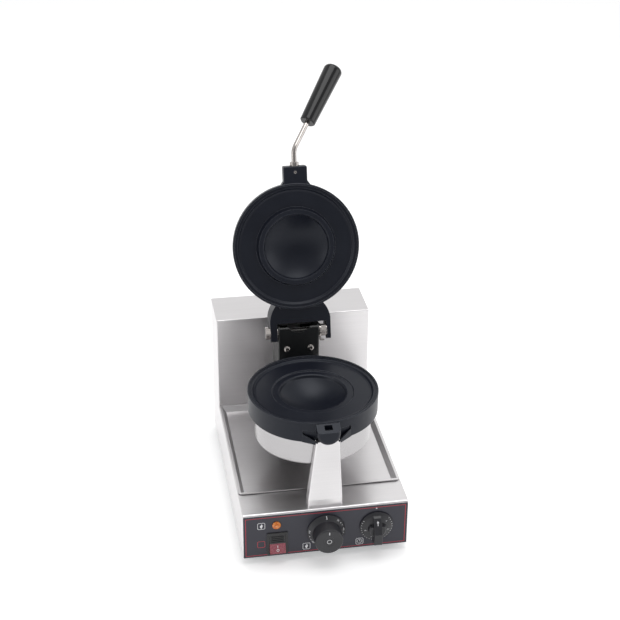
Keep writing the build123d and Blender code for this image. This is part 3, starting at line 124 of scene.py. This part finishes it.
def softbox(name, place, width, height, power):
    """Rectangular light that faces the middle of the machine."""
    target = (cad_low + cad_high) / 2
    light = bpy.data.lights.new(name, "AREA")
    light.shape = "RECTANGLE"
    light.size = width
    light.size_y = height
    light.energy = power
    holder = bpy.data.objects.new(name, light)
    holder.location = place
    holder.rotation_euler = (target - Vector(place)).to_track_quat("-Z", "Y").to_euler()
    bpy.context.scene.collection.objects.link(holder)


def make_floor():
    """Plain pale floor, one flat face."""
    floor_mesh = bpy.data.meshes.new("floor")
    half = FLOOR_HALF
    corners = [(-half, -half, 0), (half, -half, 0), (half, half, 0), (-half, half, 0)]
    floor_mesh.from_pydata(corners, [], [(0, 1, 2, 3)])
    floor = bpy.data.objects.new("floor", floor_mesh)
    bpy.context.scene.collection.objects.link(floor)
    look = Look("studio_floor")
    speckle = look.noise(300, detail=2)
    look.set("Base Color", look.blend(speckle, (0.90, 0.90, 0.90, 1), (0.93, 0.93, 0.93, 1)))
    look.set("Roughness", 0.85)
    look.set("Emission Color", (1.0, 1.0, 1.0, 1))
    look.set("Emission Strength", FLOOR_GLOW)
    floor_mesh.materials.append(look.material)


def make_studio():
    """World, lights and floor, shown with plain display colours."""
    make_world()
    for settings in SOFTBOXES:
        softbox(*settings)
    make_floor()
    bpy.context.scene.view_settings.view_transform = "Standard"


# ---- material helper ----------------------------------------------------------------------------
class Look:
    """One node material; methods add nodes and return their output sockets."""

    def __init__(self, name):
        self.material = bpy.data.materials.new(name)
        self.material.use_nodes = True
        self.tree = self.material.node_tree
        self.shader = self.tree.nodes["Principled BSDF"]

    def put(self, socket, value):
        """Links value to the socket if it is a socket itself, and else sets it."""
        if isinstance(value, bpy.types.NodeSocket):
            self.tree.links.new(value, socket)
        else:
            socket.default_value = value

    def add(self, kind, inputs, **settings):
        made = self.tree.nodes.new("ShaderNode" + kind)
        for key, value in settings.items():
            setattr(made, key, value)
        for key, value in inputs.items():
            self.put(made.inputs[key], value)
        return made

    def set(self, name, value):
        self.put(self.shader.inputs[name], value)

    def place(self):
        """Object coordinates, which are the frame's own, in metres."""
        return self.add("TexCoord", {}).outputs["Object"]

    def scaled(self, vector, scale):
        return self.add("VectorMath", {0: vector, 1: scale}, operation="MULTIPLY").outputs[0]

    def math(self, operation, first, second=0.0):
        return self.add("Math", {0: first, 1: second}, operation=operation).outputs[0]

    def noise(self, scale, detail=3.0, roughness=0.5, vector=None):
        vector = vector or self.place()
        inputs = {"Vector": vector, "Scale": scale, "Detail": detail, "Roughness": roughness}
        return self.add("TexNoise", inputs).outputs["Fac"]

    def spread(self, value, low, high, to_low=0.0, to_high=1.0):
        """Maps low..high to to_low..to_high, clamped."""
        inputs = {"Value": value, "From Min": low, "From Max": high, "To Min": to_low, "To Max": to_high}
        return self.add("MapRange", inputs).outputs[0]

    def blend(self, factor, first, second):
        return self.add("MixRGB", {"Fac": factor, "Color1": first, "Color2": second}).outputs[0]

    def bump(self, height, depth, normal=None):
        inputs = {"Height": height, "Strength": 1.0, "Distance": depth}
        if normal is not None:
            inputs["Normal"] = normal
        return self.add("Bump", inputs).outputs[0]

    def soft_edges(self, radius):
        """Normal that rounds the sharp edges, for glints along them."""
        return self.add("Bevel", {"Radius": radius}, samples=4).outputs[0]

    def edge_mask(self, radius):
        """1 near sharp edges, 0 on flats."""
        rounded = self.soft_edges(radius)
        flat = self.add("NewGeometry", {}).outputs["Normal"]
        facing = self.add("VectorMath", {0: rounded, 1: flat}, operation="DOT_PRODUCT").outputs["Value"]
        return self.spread(facing, 1.0, 0.85)


# ---- metals -------------------------------------------------------------------------------------
def sheet_grain(look):
    """Coordinates stretched along the brushing: X on tops and fronts, Y on the sides."""
    normal = look.add("NewGeometry", {}).outputs["True Normal"]
    side = look.math("ABSOLUTE", look.add("SeparateXYZ", {0: normal}).outputs["X"])
    is_side = look.math("GREATER_THAN", side, 0.7)
    split = look.add("SeparateXYZ", {0: look.place()})
    across = look.add("CombineXYZ", {"X": split.outputs["Y"], "Y": split.outputs["X"],
                                     "Z": split.outputs["Z"]}).outputs[0]
    vector = look.blend(is_side, look.place(), across)
    grain_way = look.blend(is_side, (1, 0, 0, 1), (0, 1, 0, 1))
    highlight_way = look.add("VectorMath", {0: normal, 1: grain_way}, operation="CROSS_PRODUCT").outputs[0]
    return vector, highlight_way


def turned_grain(look, centre, tilt_deg):
    """Coordinates stretched round an axis through centre, for spun shells."""
    turn = Matrix.Rotation(radians(tilt_deg), 3, "X")
    shift = -(turn @ Vector(centre))
    local = look.add("Mapping", {"Vector": look.place(), "Location": shift,
                                 "Rotation": (radians(tilt_deg), 0, 0)}).outputs[0]
    split = look.add("SeparateXYZ", {0: local})
    angle = look.math("ARCTAN2", split.outputs["Y"], split.outputs["X"])
    ring = look.add("CombineXYZ", {"X": split.outputs["X"], "Y": split.outputs["Y"]}).outputs[0]
    radius = look.add("VectorMath", {0: ring}, operation="LENGTH").outputs["Value"]
    round_it = look.math("MULTIPLY", angle, SHELL_RADIUS)
    vector = look.add("CombineXYZ", {"X": round_it, "Y": radius, "Z": split.outputs["Z"]}).outputs[0]
    return vector, tuple(turn.inverted() @ Vector((0, 0, 1)))


def brushed(name, grain, colour, roughness, anisotropy=0.55):
    """Brushed stainless: fine streaks in colour, roughness and relief, with a few smudges."""
    look = Look(name)
    vector, highlight_way = grain(look)
    fine = look.noise(1.0, detail=4, roughness=0.7, vector=look.scaled(vector, (14, 2600, 2600)))
    broad = look.noise(1.0, detail=2, vector=look.scaled(vector, (4, 420, 420)))
    smudge = look.noise(9, detail=3)
    streak = look.math("ADD", look.math("MULTIPLY", fine, 0.6), look.math("MULTIPLY", broad, 0.4))
    darker = tuple(0.95 * c for c in colour[:3]) + (1.0,)
    lighter = tuple(min(1.0, 1.12 * c) for c in colour[:3]) + (1.0,)
    tone = look.blend(look.spread(streak, 0.35, 0.65), darker, colour)
    look.set("Base Color", look.blend(look.edge_mask(0.7 * MM), tone, lighter))
    rough = look.spread(streak, 0.3, 0.7, roughness - 0.03, roughness + 0.03)
    look.set("Roughness", look.math("ADD", rough, look.spread(smudge, 0.45, 0.75, 0.0, 0.08)))
    look.set("Metallic", 1.0)
    look.set("Anisotropic", anisotropy)
    look.set("Tangent", highlight_way)
    look.set("Normal", look.bump(streak, 0.0035 * MM, look.soft_edges(0.5 * MM)))
    return look.material


def bright_steel(name, colour, roughness):
    """Plated turned steel with fine marks in its relief and light handling marks."""
    look = Look(name)
    marks = look.noise(900, detail=4, roughness=0.6)
    patches = look.noise(120, detail=2)
    darker = tuple(0.8 * c for c in colour[:3]) + (1.0,)
    look.set("Base Color", look.blend(look.spread(patches, 0.4, 0.7), colour, darker))
    look.set("Roughness", look.spread(marks, 0.3, 0.7, roughness - 0.04, roughness + 0.05))
    look.set("Metallic", 1.0)
    look.set("Normal", look.bump(marks, 0.004 * MM, look.soft_edges(0.4 * MM)))
    return look.material


def galvanised():
    """Zinc coat with its crystal pattern."""
    look = Look("galvanised_sheet")
    cells = look.add("TexVoronoi", {"Vector": look.place(), "Scale": 90}, feature="F1")
    spangle = look.add("SeparateColor", {0: cells.outputs["Color"]}).outputs[0]
    look.set("Base Color", look.blend(spangle, (0.42, 0.43, 0.44, 1), (0.6, 0.61, 0.62, 1)))
    look.set("Metallic", 1.0)
    look.set("Roughness", look.spread(spangle, 0, 1, 0.32, 0.5))
    look.set("Normal", look.bump(look.noise(700), 0.01 * MM))
    return look.material


def cast_nonstick():
    """Satin black non-stick coat on a blasted casting, rubbed along its edges."""
    look = Look("cast_nonstick")
    grit = look.noise(2400, detail=3, roughness=0.65)
    peel = look.noise(420, detail=2)
    cloud = look.noise(28, detail=3)
    fleck = look.spread(look.noise(5200, detail=1), 0.68, 0.78)
    base = look.blend(cloud, (0.0045, 0.0055, 0.0100, 1), (0.0070, 0.0085, 0.0145, 1))
    base = look.blend(look.math("MULTIPLY", fleck, 0.25), base, (0.035, 0.038, 0.047, 1))
    edge = look.math("MULTIPLY", look.edge_mask(0.8 * MM), 0.8)
    look.set("Base Color", look.blend(edge, base, (0.13, 0.135, 0.15, 1)))
    rough = look.spread(grit, 0.25, 0.75, 0.31, 0.41)
    look.set("Roughness", look.math("ADD", rough, look.spread(cloud, 0.3, 0.7, -0.03, 0.05)))
    relief = look.math("ADD", look.math("MULTIPLY", grit, 0.5), peel)
    look.set("Normal", look.bump(relief, 0.014 * MM, look.soft_edges(0.8 * MM)))
    look.set("Specular IOR Level", 0.28)
    look.set("Specular Tint", (0.88, 0.92, 1.0, 1))
    return look.material


def powder_coat():
    """Black powder coat with its fine orange peel, thin on the edges."""
    look = Look("black_steel")
    peel = look.noise(1300, detail=2)
    cloud = look.noise(40, detail=3)
    base = look.blend(cloud, (0.006, 0.0065, 0.007, 1), (0.011, 0.012, 0.0125, 1))
    edge = look.math("MULTIPLY", look.edge_mask(0.6 * MM), 0.5)
    look.set("Base Color", look.blend(edge, base, (0.07, 0.07, 0.072, 1)))
    look.set("Roughness", look.spread(peel, 0.3, 0.7, 0.30, 0.42))
    look.set("Normal", look.bump(peel, 0.03 * MM, look.soft_edges(0.6 * MM)))
    return look.material


def heater_sheath():
    """Oxidised tube with brown and grey patches."""
    look = Look("heater_sheath")
    scale = look.noise(160, detail=4)
    patches = look.spread(scale, 0.35, 0.65)
    look.set("Base Color", look.blend(patches, (0.12, 0.09, 0.07, 1), (0.3, 0.27, 0.24, 1)))
    look.set("Metallic", 0.9)
    look.set("Roughness", look.spread(scale, 0.3, 0.7, 0.35, 0.6))
    look.set("Normal", look.bump(look.noise(900), 0.02 * MM))
    return look.material


# ---- plastics, rubber, ceramic ------------------------------------------------------------------
def moulded(name, colour, roughness, grain=1500, depth=0.02, worn=0.35):
    """Moulded plastic with a spark-eroded texture and rubbed edges; returns the look, to build on."""
    look = Look(name)
    texture = look.noise(grain, detail=2)
    cloud = look.noise(45, detail=2)
    darker = tuple(0.8 * c for c in colour[:3]) + (1.0,)
    base = look.blend(cloud, darker, colour)
    lighter = tuple(min(1.0, 2.2 * c + 0.012) for c in colour[:3]) + (1.0,)
    edge = look.math("MULTIPLY", look.edge_mask(0.5 * MM), worn)
    look.set("Base Color", look.blend(edge, base, lighter))
    look.set("Roughness", look.spread(texture, 0.3, 0.7, roughness - 0.05, roughness + 0.07))
    look.set("Normal", look.bump(texture, depth * MM, look.soft_edges(0.5 * MM)))
    return look


def polished_grip():
    """Glossy black phenolic with a faint swirl and fine scratches."""
    look = moulded("grip_plastic", (0.0040, 0.0040, 0.0048, 1), 0.16, grain=260, depth=0.012)
    look.set("Coat Weight", 0.12)
    look.set("Coat Roughness", 0.06)
    look.set("Specular IOR Level", 0.3)
    scratch = look.noise(1.0, detail=3, vector=look.scaled(look.place(), (1800, 1800, 60)))
    look.set("Roughness", look.spread(scratch, 0.45, 0.7, 0.10, 0.18))
    return look.material


def panel_print():
    """Printed laminate: dark blue-grey with a fine embossed grain."""
    look = Look("panel_overlay")
    emboss = look.noise(3000, detail=1)
    cloud = look.noise(14, detail=2)
    look.set("Base Color", look.blend(cloud, (0.034, 0.034, 0.046, 1), (0.040, 0.040, 0.053, 1)))
    look.set("Roughness", look.spread(emboss, 0.3, 0.7, 0.30, 0.40))
    look.set("Normal", look.bump(emboss, 0.012 * MM))
    look.set("Specular IOR Level", 0.35)
    return look.material


def ink(name, colour):
    """Screen-print ink with a slightly uneven lay."""
    look = Look(name)
    lay = look.noise(1800, detail=2)
    darker = tuple(0.82 * c for c in colour[:3]) + (1.0,)
    look.set("Base Color", look.blend(lay, darker, colour))
    look.set("Roughness", look.spread(lay, 0.3, 0.7, 0.38, 0.52))
    look.set("Normal", look.bump(lay, 0.006 * MM))
    return look.material


def lit_lens(name, deep, bright, glow, facets):
    """Translucent coloured plastic with moulded facets, faintly lit from behind."""
    look = Look(name)
    cells = look.add("TexVoronoi", {"Vector": look.place(), "Scale": facets}, feature="F1")
    tone = look.spread(cells.outputs["Distance"], 0.0, 0.7)
    colour = look.blend(tone, bright, deep)
    look.set("Base Color", colour)
    look.set("Roughness", look.spread(look.noise(900), 0.3, 0.7, 0.12, 0.2))
    look.set("Subsurface Weight", 0.35)
    look.set("Subsurface Scale", 0.002)
    look.set("Subsurface Radius", (1.0, 0.4, 0.1))
    look.set("Emission Color", colour)
    look.set("Emission Strength", glow)
    look.set("Coat Weight", 0.6)
    look.set("Coat Roughness", 0.05)
    look.set("Normal", look.bump(cells.outputs["Distance"], 0.12 * MM))
    return look.material


def rubber():
    """Matt black rubber with a rough skin."""
    look = Look("rubber_foot")
    skin = look.noise(1100, detail=4)
    look.set("Base Color", look.blend(look.noise(60), (0.012, 0.012, 0.012, 1), (0.022, 0.021, 0.02, 1)))
    look.set("Roughness", look.spread(skin, 0.3, 0.7, 0.7, 0.88))
    look.set("Normal", look.bump(skin, 0.05 * MM))
    return look.material


def ceramic(name, colour, roughness, fibre):
    """Pale ceramic with pores; fibre is how fine they are."""
    look = Look(name)
    pores = look.noise(fibre, detail=4)
    darker = tuple(0.78 * c for c in colour[:3]) + (1.0,)
    look.set("Base Color", look.blend(look.spread(pores, 0.35, 0.65), darker, colour))
    look.set("Roughness", look.spread(pores, 0.3, 0.7, roughness - 0.06, roughness + 0.1))
    look.set("Normal", look.bump(pores, 0.06 * MM))
    return look.material


# ---- finishing the CAD nodes --------------------------------------------------------------------
def middle_of(node):
    """Middle of a CAD node's box at rest."""
    low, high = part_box(node)
    return (low + high) / 2


def slot_materials():
    """One material for each material slot of the record."""
    # Painted light: this stainless is a lighter copy of the spun shells' steel, coloured up to brighten the tray
    # and housing.
    steel = (0.76, 0.745, 0.75, 1)
    return {
        "brushed_stainless": brushed("brushed_stainless", sheet_grain, steel, 0.31),
        "galvanised_sheet": galvanised(),
        "bright_fastener": bright_steel("bright_fastener", PLATED, 0.14),
        "cast_nonstick": cast_nonstick(),
        "black_steel": powder_coat(),
        "panel_overlay": panel_print(),
        "knob_plastic": moulded("knob_plastic", (0.020, 0.020, 0.024, 1), 0.36).material,
        "grip_plastic": polished_grip(),
        "switch_plastic": moulded("switch_plastic", (0.016, 0.016, 0.018, 1), 0.34, grain=2200).material,
        "lamp_amber": lit_lens("lamp_amber", (0.42, 0.085, 0.006, 1), (0.80, 0.34, 0.05, 1), 0.12, 700),
        "rocker_red": lit_lens("rocker_red", (0.24, 0.05, 0.07, 1), (0.36, 0.12, 0.14, 1), 0.05, 700),
        "rubber_foot": rubber(),
        "heater_sheath": heater_sheath(),
        "ceramic_fibre": ceramic("ceramic_fibre", (0.82, 0.8, 0.75, 1), 0.85, 400),
        "ceramic_terminal": ceramic("ceramic_terminal", (0.85, 0.82, 0.74, 1), 0.25, 90),
        "relay_plastic": moulded("relay_plastic", (0.02, 0.02, 0.022, 1), 0.45).material,
        "control_case": moulded("control_case", (0.6, 0.57, 0.5, 1), 0.5, worn=0.1).material,
        "gland_nylon": moulded("gland_nylon", (0.014, 0.014, 0.016, 1), 0.42, grain=900).material,
    }


def spun_materials():
    """Shells that were spun or rolled, so their brushing runs round an axis."""
    # Painted shade: the drum and cover get a darker copy of the sheet's stainless, coloured down to dim them.
    steel = (0.47, 0.46, 0.465, 1)

    def drum_grain(look):
        return turned_grain(look, middle_of("lower_drum"), 0.0)

    def cover_grain(look):
        return turned_grain(look, middle_of("upper_cover"), OPEN_DEG)

    return {
        "lower_drum": brushed("drum_stainless", drum_grain, steel, 0.22),
        "upper_cover": brushed("cover_stainless", cover_grain, steel, 0.24),
    }


def pin_steel():
    """Plated hinge pin with painted shade: dark and hardly metallic where it runs between the bracket's cheeks."""
    look = Look("hinge_pin_steel")
    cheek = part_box("hinge_bracket")[1].x
    across = look.math("ABSOLUTE", look.add("SeparateXYZ", {0: look.place()}).outputs["X"])
    # Painted shade: between the bracket's cheeks the pin is coloured near black and made nearly non-metal, where
    # shade falls.
    cheek_shade_mask = look.spread(across, cheek - 1.5 * MM, cheek + 0.5 * MM, 1.0, 0.0)
    pin_mottle = look.noise(500, detail=3)
    painted_shade_colour = look.blend(pin_mottle, (0.010, 0.010, 0.010, 1), (0.022, 0.020, 0.018, 1))
    look.set("Base Color", look.blend(cheek_shade_mask, PLATED, painted_shade_colour))
    look.set("Metallic", look.spread(cheek_shade_mask, 0.0, 1.0, 1.0, 0.2))
    look.set("Roughness", look.spread(pin_mottle, 0.3, 0.7, 0.12, 0.24))
    look.set("Normal", look.bump(pin_mottle, 0.005 * MM, look.soft_edges(0.4 * MM)))
    return look.material


def finish_nodes():
    """Gives every CAD node the material of its slot in the record."""
    by_slot = slot_materials()
    special = spun_materials()
    special["hinge_pin"] = pin_steel()
    for subpart in frame["record"]["subparts"]:
        name = subpart["node"]
        node = frame["nodes"][name]
        node.data.materials.clear()
        node.data.materials.append(special.get(name, by_slot[subpart["material_slot"]]))


# ---- printed marks ------------------------------------------------------------------------------
class Marks:
    """Thin raised print, gathered into one mesh. Outlines are (u, v) in metres on a placed plane."""

    def __init__(self):
        self.mesh = bmesh.new()

    def outline(self, place, points):
        corners = [self.mesh.verts.new(place @ Vector((u, v, 0))) for u, v in points]
        face = self.mesh.faces.new(corners)
        way = (place.to_3x3() @ Vector((0, 0, 1))).normalized()
        face.normal_update()
        if face.normal.dot(way) < 0:
            face.normal_flip()
        raised = bmesh.ops.extrude_face_region(self.mesh, geom=[face])["geom"]
        lifted = [v for v in raised if isinstance(v, bmesh.types.BMVert)]
        bmesh.ops.translate(self.mesh, vec=way * INK, verts=lifted)

    def line(self, place, start, end, width):
        run = (Vector(end) - Vector(start)).normalized() * width / 2
        side = Vector((-run.y, run.x))
        a, b = Vector(start), Vector(end)
        self.outline(place, [a - side, b - side, b + side, a + side])

    def ring(self, place, centre, radius, width, sides=28, first=0.0, sweep=2 * pi):
        """Ring, or part of one, as a run of short trapezia."""
        for i in range(sides):
            turns = (first + sweep * i / sides, first + sweep * (i + 1) / sides)
            inner = [(centre[0] + (radius - width / 2) * cos(t), centre[1] + (radius - width / 2) * sin(t))
                     for t in turns]
            outer = [(centre[0] + (radius + width / 2) * cos(t), centre[1] + (radius + width / 2) * sin(t))
                     for t in reversed(turns)]
            self.outline(place, inner + outer)

    def dot(self, place, centre, radius, sides=14):
        turns = [2 * pi * i / sides for i in range(sides)]
        self.outline(place, [(centre[0] + radius * cos(t), centre[1] + radius * sin(t)) for t in turns])

    def frame_lines(self, place, width, height, line_width):
        """Rectangle of four lines round the plane's origin."""
        u, v = width / 2, height / 2
        for start, end in (((-u, v), (u, v)), ((-u, -v), (u, -v))):
            self.line(place, start, end, line_width)
        inset = v - line_width / 2
        for x in (-u + line_width / 2, u - line_width / 2):
            self.line(place, (x, -inset), (x, inset), line_width)

    def rounded_square(self, place, size, radius, line_width):
        """Square of four lines joined by quarter rings."""
        half = size / 2
        flat = half - radius
        for side in (-half, half):
            self.line(place, (-flat, side), (flat, side), line_width)
            self.line(place, (side, -flat), (side, flat), line_width)
        for quarter, (u, v) in enumerate(((flat, flat), (-flat, flat), (-flat, -flat), (flat, -flat))):
            self.ring(place, (u, v), radius, line_width, 5, quarter * pi / 2, pi / 2)

    def text(self, place, words, size):
        curve = bpy.data.curves.new("numerals", "FONT")
        curve.body = words
        curve.size = size
        curve.align_x = "CENTER"
        curve.align_y = "CENTER"
        curve.extrude = INK / 2
        curve.resolution_u = 4
        holder = bpy.data.objects.new("numerals", curve)
        bpy.context.scene.collection.objects.link(holder)
        bpy.context.view_layer.update()
        graph = bpy.context.evaluated_depsgraph_get()
        shape = bpy.data.meshes.new_from_object(holder.evaluated_get(graph))
        shape.transform(place @ Matrix.Translation((0, 0, INK / 2)))
        self.mesh.from_mesh(shape)
        bpy.data.objects.remove(holder)
        bpy.data.meshes.remove(shape)

    def build(self, name, material, body, slot):
        bmesh.ops.recalc_face_normals(self.mesh, faces=self.mesh.faces)
        made = bpy.data.meshes.new(name)
        self.mesh.to_mesh(made)
        self.mesh.free()
        made.materials.append(material)
        piece = bpy.data.objects.new(name, made)
        bpy.context.scene.collection.objects.link(piece)
        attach(piece, body)
        return piece


def front_plane(x, y, z):
    """Plane facing the front: u to the right, v up."""
    return Matrix.Translation((x, y, z)) @ Matrix.Rotation(pi / 2, 4, "X")


def dial_plane(centre, turn_deg, radius, rise, slope_deg):
    """Plane on a dial's conical skirt, turned clockwise from the top, v pointing to the rim."""
    spin = Matrix.Rotation(radians(turn_deg), 4, "Y")
    place = Matrix.Translation((0, -rise, radius)) @ Matrix.Rotation(pi / 2 - radians(slope_deg), 4, "X")
    return Matrix.Translation(centre) @ spin @ place


def panel_frame():
    """Red line round the panel."""
    low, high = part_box("control_panel")
    inset = 3.2 * MM
    marks = Marks()
    place = front_plane((low.x + high.x) / 2, low.y, (low.z + high.z) / 2)
    marks.frame_lines(place, high.x - low.x - 2 * inset, high.z - low.z - 2 * inset, 0.8 * MM)
    return marks


def pictogram_plane(node, right, up):
    """Front plane at an offset from a control's middle."""
    middle = middle_of(node)
    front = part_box("control_panel")[0].y
    return front_plane(middle.x + right * MM, front, middle.z + up * MM)


def flame(marks, place):
    """Drop-shaped flame with a small tail."""
    outline = [(0.2, 3.6), (1.5, 1.9), (1.9, 0.2), (1.4, -1.6), (0.4, -2.9), (0.5, -4.0), (-0.5, -4.0),
               (-0.6, -2.8), (-1.7, -1.4), (-1.9, 0.1), (-1.2, 1.4), (-0.7, 0.7), (-0.3, 2.2)]
    marks.outline(place, [(1.15 * u * MM, 1.1 * v * MM) for u, v in outline])


def clock(marks, place):
    """Clock face with two hands."""
    marks.ring(place, (0, 0), 3.5 * MM, 0.6 * MM)
    marks.line(place, (0, 0), (0, 2.5 * MM), 0.6 * MM)
    marks.line(place, (0, 0), (1.8 * MM, 0), 0.6 * MM)


def panel_symbols():
    """White pictograms, each in its square, and the index dot over the timer."""
    marks = Marks()
    spots = {
        "heat": pictogram_plane("pilot_lamp_lens", -23.1, 0.3),
        "power": pictogram_plane("switch_body", -24.6, 0.0),
        "thermostat": pictogram_plane("thermostat_shaft", -29.8, -26.2),
        "timer": pictogram_plane("timer_shaft", -25.1, -26.9),
    }
    for name in ("heat", "thermostat", "timer"):
        marks.rounded_square(spots[name], SQUARE, SQUARE_CORNER, SQUARE_LINE)
    flame(marks, spots["heat"])
    flame(marks, spots["thermostat"])
    clock(marks, spots["timer"])
    marks.dot(pictogram_plane("timer_shaft", 0.0, 31.5), (0, 0), 1.2 * MM)
    return marks, spots["power"]


def thermostat_marks():
    """Index line, numerals and dots on the skirt, index and plain ring on the cap."""
    shaft = middle_of("thermostat_shaft")
    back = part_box("control_panel")[0].y
    centre = Vector((shaft.x, back, shaft.z))
    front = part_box("thermostat_knob")[0].y
    marks = Marks()
    skirt = (26.2 * MM, 4.75 * MM, 38.9)   # radius, rise and slope of its middle line
    numerals = ((42, "50"), (84, "100"), (-128, "200"), (-84, "300"))   # degrees clockwise from the top
    dots = (56, 66, 98, 110, 122, -142, -114, -102)
    marks.line(dial_plane(centre, 0, *skirt), (0, -2.6 * MM), (0, 2.6 * MM), 1.0 * MM)
    for turn, words in numerals:
        marks.text(dial_plane(centre, turn, *skirt), words, 3.8 * MM)
    for turn in dots:
        marks.dot(dial_plane(centre, turn, *skirt), (0, 0), 0.7 * MM)
    cap = front_plane(shaft.x, front, shaft.z)
    marks.line(cap, (0, 12.6 * MM), (0, 17.4 * MM), 1.3 * MM)
    recess = front_plane(shaft.x, front + 0.6 * MM, shaft.z)
    marks.ring(recess, (0, 0), 3.4 * MM, 0.7 * MM)
    return marks


def timer_marks():
    """Minutes and their fifths round the skirt."""
    shaft = middle_of("timer_shaft")
    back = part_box("control_panel")[0].y
    centre = Vector((shaft.x, back, shaft.z))
    marks = Marks()
    outer = (23.7 * MM, 3.85 * MM, 32.3)   # the skirt's two cones: radius, rise, slope
    inner = (17.9 * MM, 6.55 * MM, 21.0)
    first, step = 52, 52                   # degrees to the first minute, and between minutes
    minutes, fifths = 5, 5
    for i in range(minutes):
        turn = first + step * i
        marks.text(dial_plane(centre, turn, *inner), str(i + 1), 4.2 * MM)
    for i in range(minutes * fifths):
        turn = first + step * i / fifths
        marks.line(dial_plane(centre, turn, *outer), (0, -0.9 * MM), (0, 0.9 * MM), 0.5 * MM)
    return marks, centre


def timer_arrow(marks, centre):
    """White arrow on the sloping top of the bar, pointing to the rim."""
    lean = 0.4636                          # radians: the bar's top falls back 1 mm in every 2
    middle = centre + Vector((0, -12.6 * MM, 11.8 * MM))
    place = Matrix.Translation(middle) @ Matrix.Rotation(pi / 2 - lean, 4, "X")
    marks.line(place, (0, -3.4 * MM), (0, 1.4 * MM), 1.0 * MM)
    marks.outline(place, [(-1.9 * MM, 0.9 * MM), (1.9 * MM, 0.9 * MM), (0, 4.2 * MM)])


def widest_front_plane(node):
    """Plane on the middle of a node's widest flat that faces the front."""
    mesh = frame["nodes"][node].data
    widest = max(mesh.polygons, key=lambda face: -face.normal.y * face.area)
    flat = [face for face in mesh.polygons if face.normal.dot(widest.normal) > 0.9999]
    corners = [mesh.vertices[i].co for face in flat for i in face.vertices]
    level = widest.center.dot(widest.normal)
    corners = [c for c in corners if abs(c.dot(widest.normal) - level) < 0.01 * MM]
    low = Vector([min(c[i] for c in corners) for i in range(3)])
    high = Vector([max(c[i] for c in corners) for i in range(3)])
    lean = atan2(widest.normal.z, -widest.normal.y)
    return Matrix.Translation((low + high) / 2) @ Matrix.Rotation(pi / 2 - lean, 4, "X")


def rocker_marks():
    """I over O on the red half of the rocker."""
    place = widest_front_plane("switch_rocker_lens")
    marks = Marks()
    marks.line(place, (0, 1.6 * MM), (0, 4.8 * MM), 0.8 * MM)
    marks.ring(place, (0, -2.6 * MM), 1.7 * MM, 0.7 * MM, 18)
    return marks


def make_marks():
    """Every printed mark, each set in its own piece on the body that it turns with."""
    white = ink("ink_white", (0.78, 0.78, 0.80, 1))
    red = ink("ink_red", (0.52, 0.03, 0.05, 1))
    panel_frame().build("panel_red_line", red, "base", "panel_overlay")
    symbols, power_spot = panel_symbols()
    symbols.build("panel_symbols", white, "base", "panel_overlay")
    power = Marks()
    power.rounded_square(power_spot, SQUARE, SQUARE_CORNER, SQUARE_LINE)
    power.build("panel_power_square", red, "base", "panel_overlay")
    rocker_marks().build("rocker_marks", white, "rocker", "rocker_red")
    thermostat_marks().build("thermostat_marks", white, "thermostat_dial", "knob_plastic")
    timer, centre = timer_marks()
    timer_arrow(timer, centre)
    timer.build("timer_marks", white, "timer_dial", "knob_plastic")


make_camera()
make_studio()
finish_nodes()
make_marks()
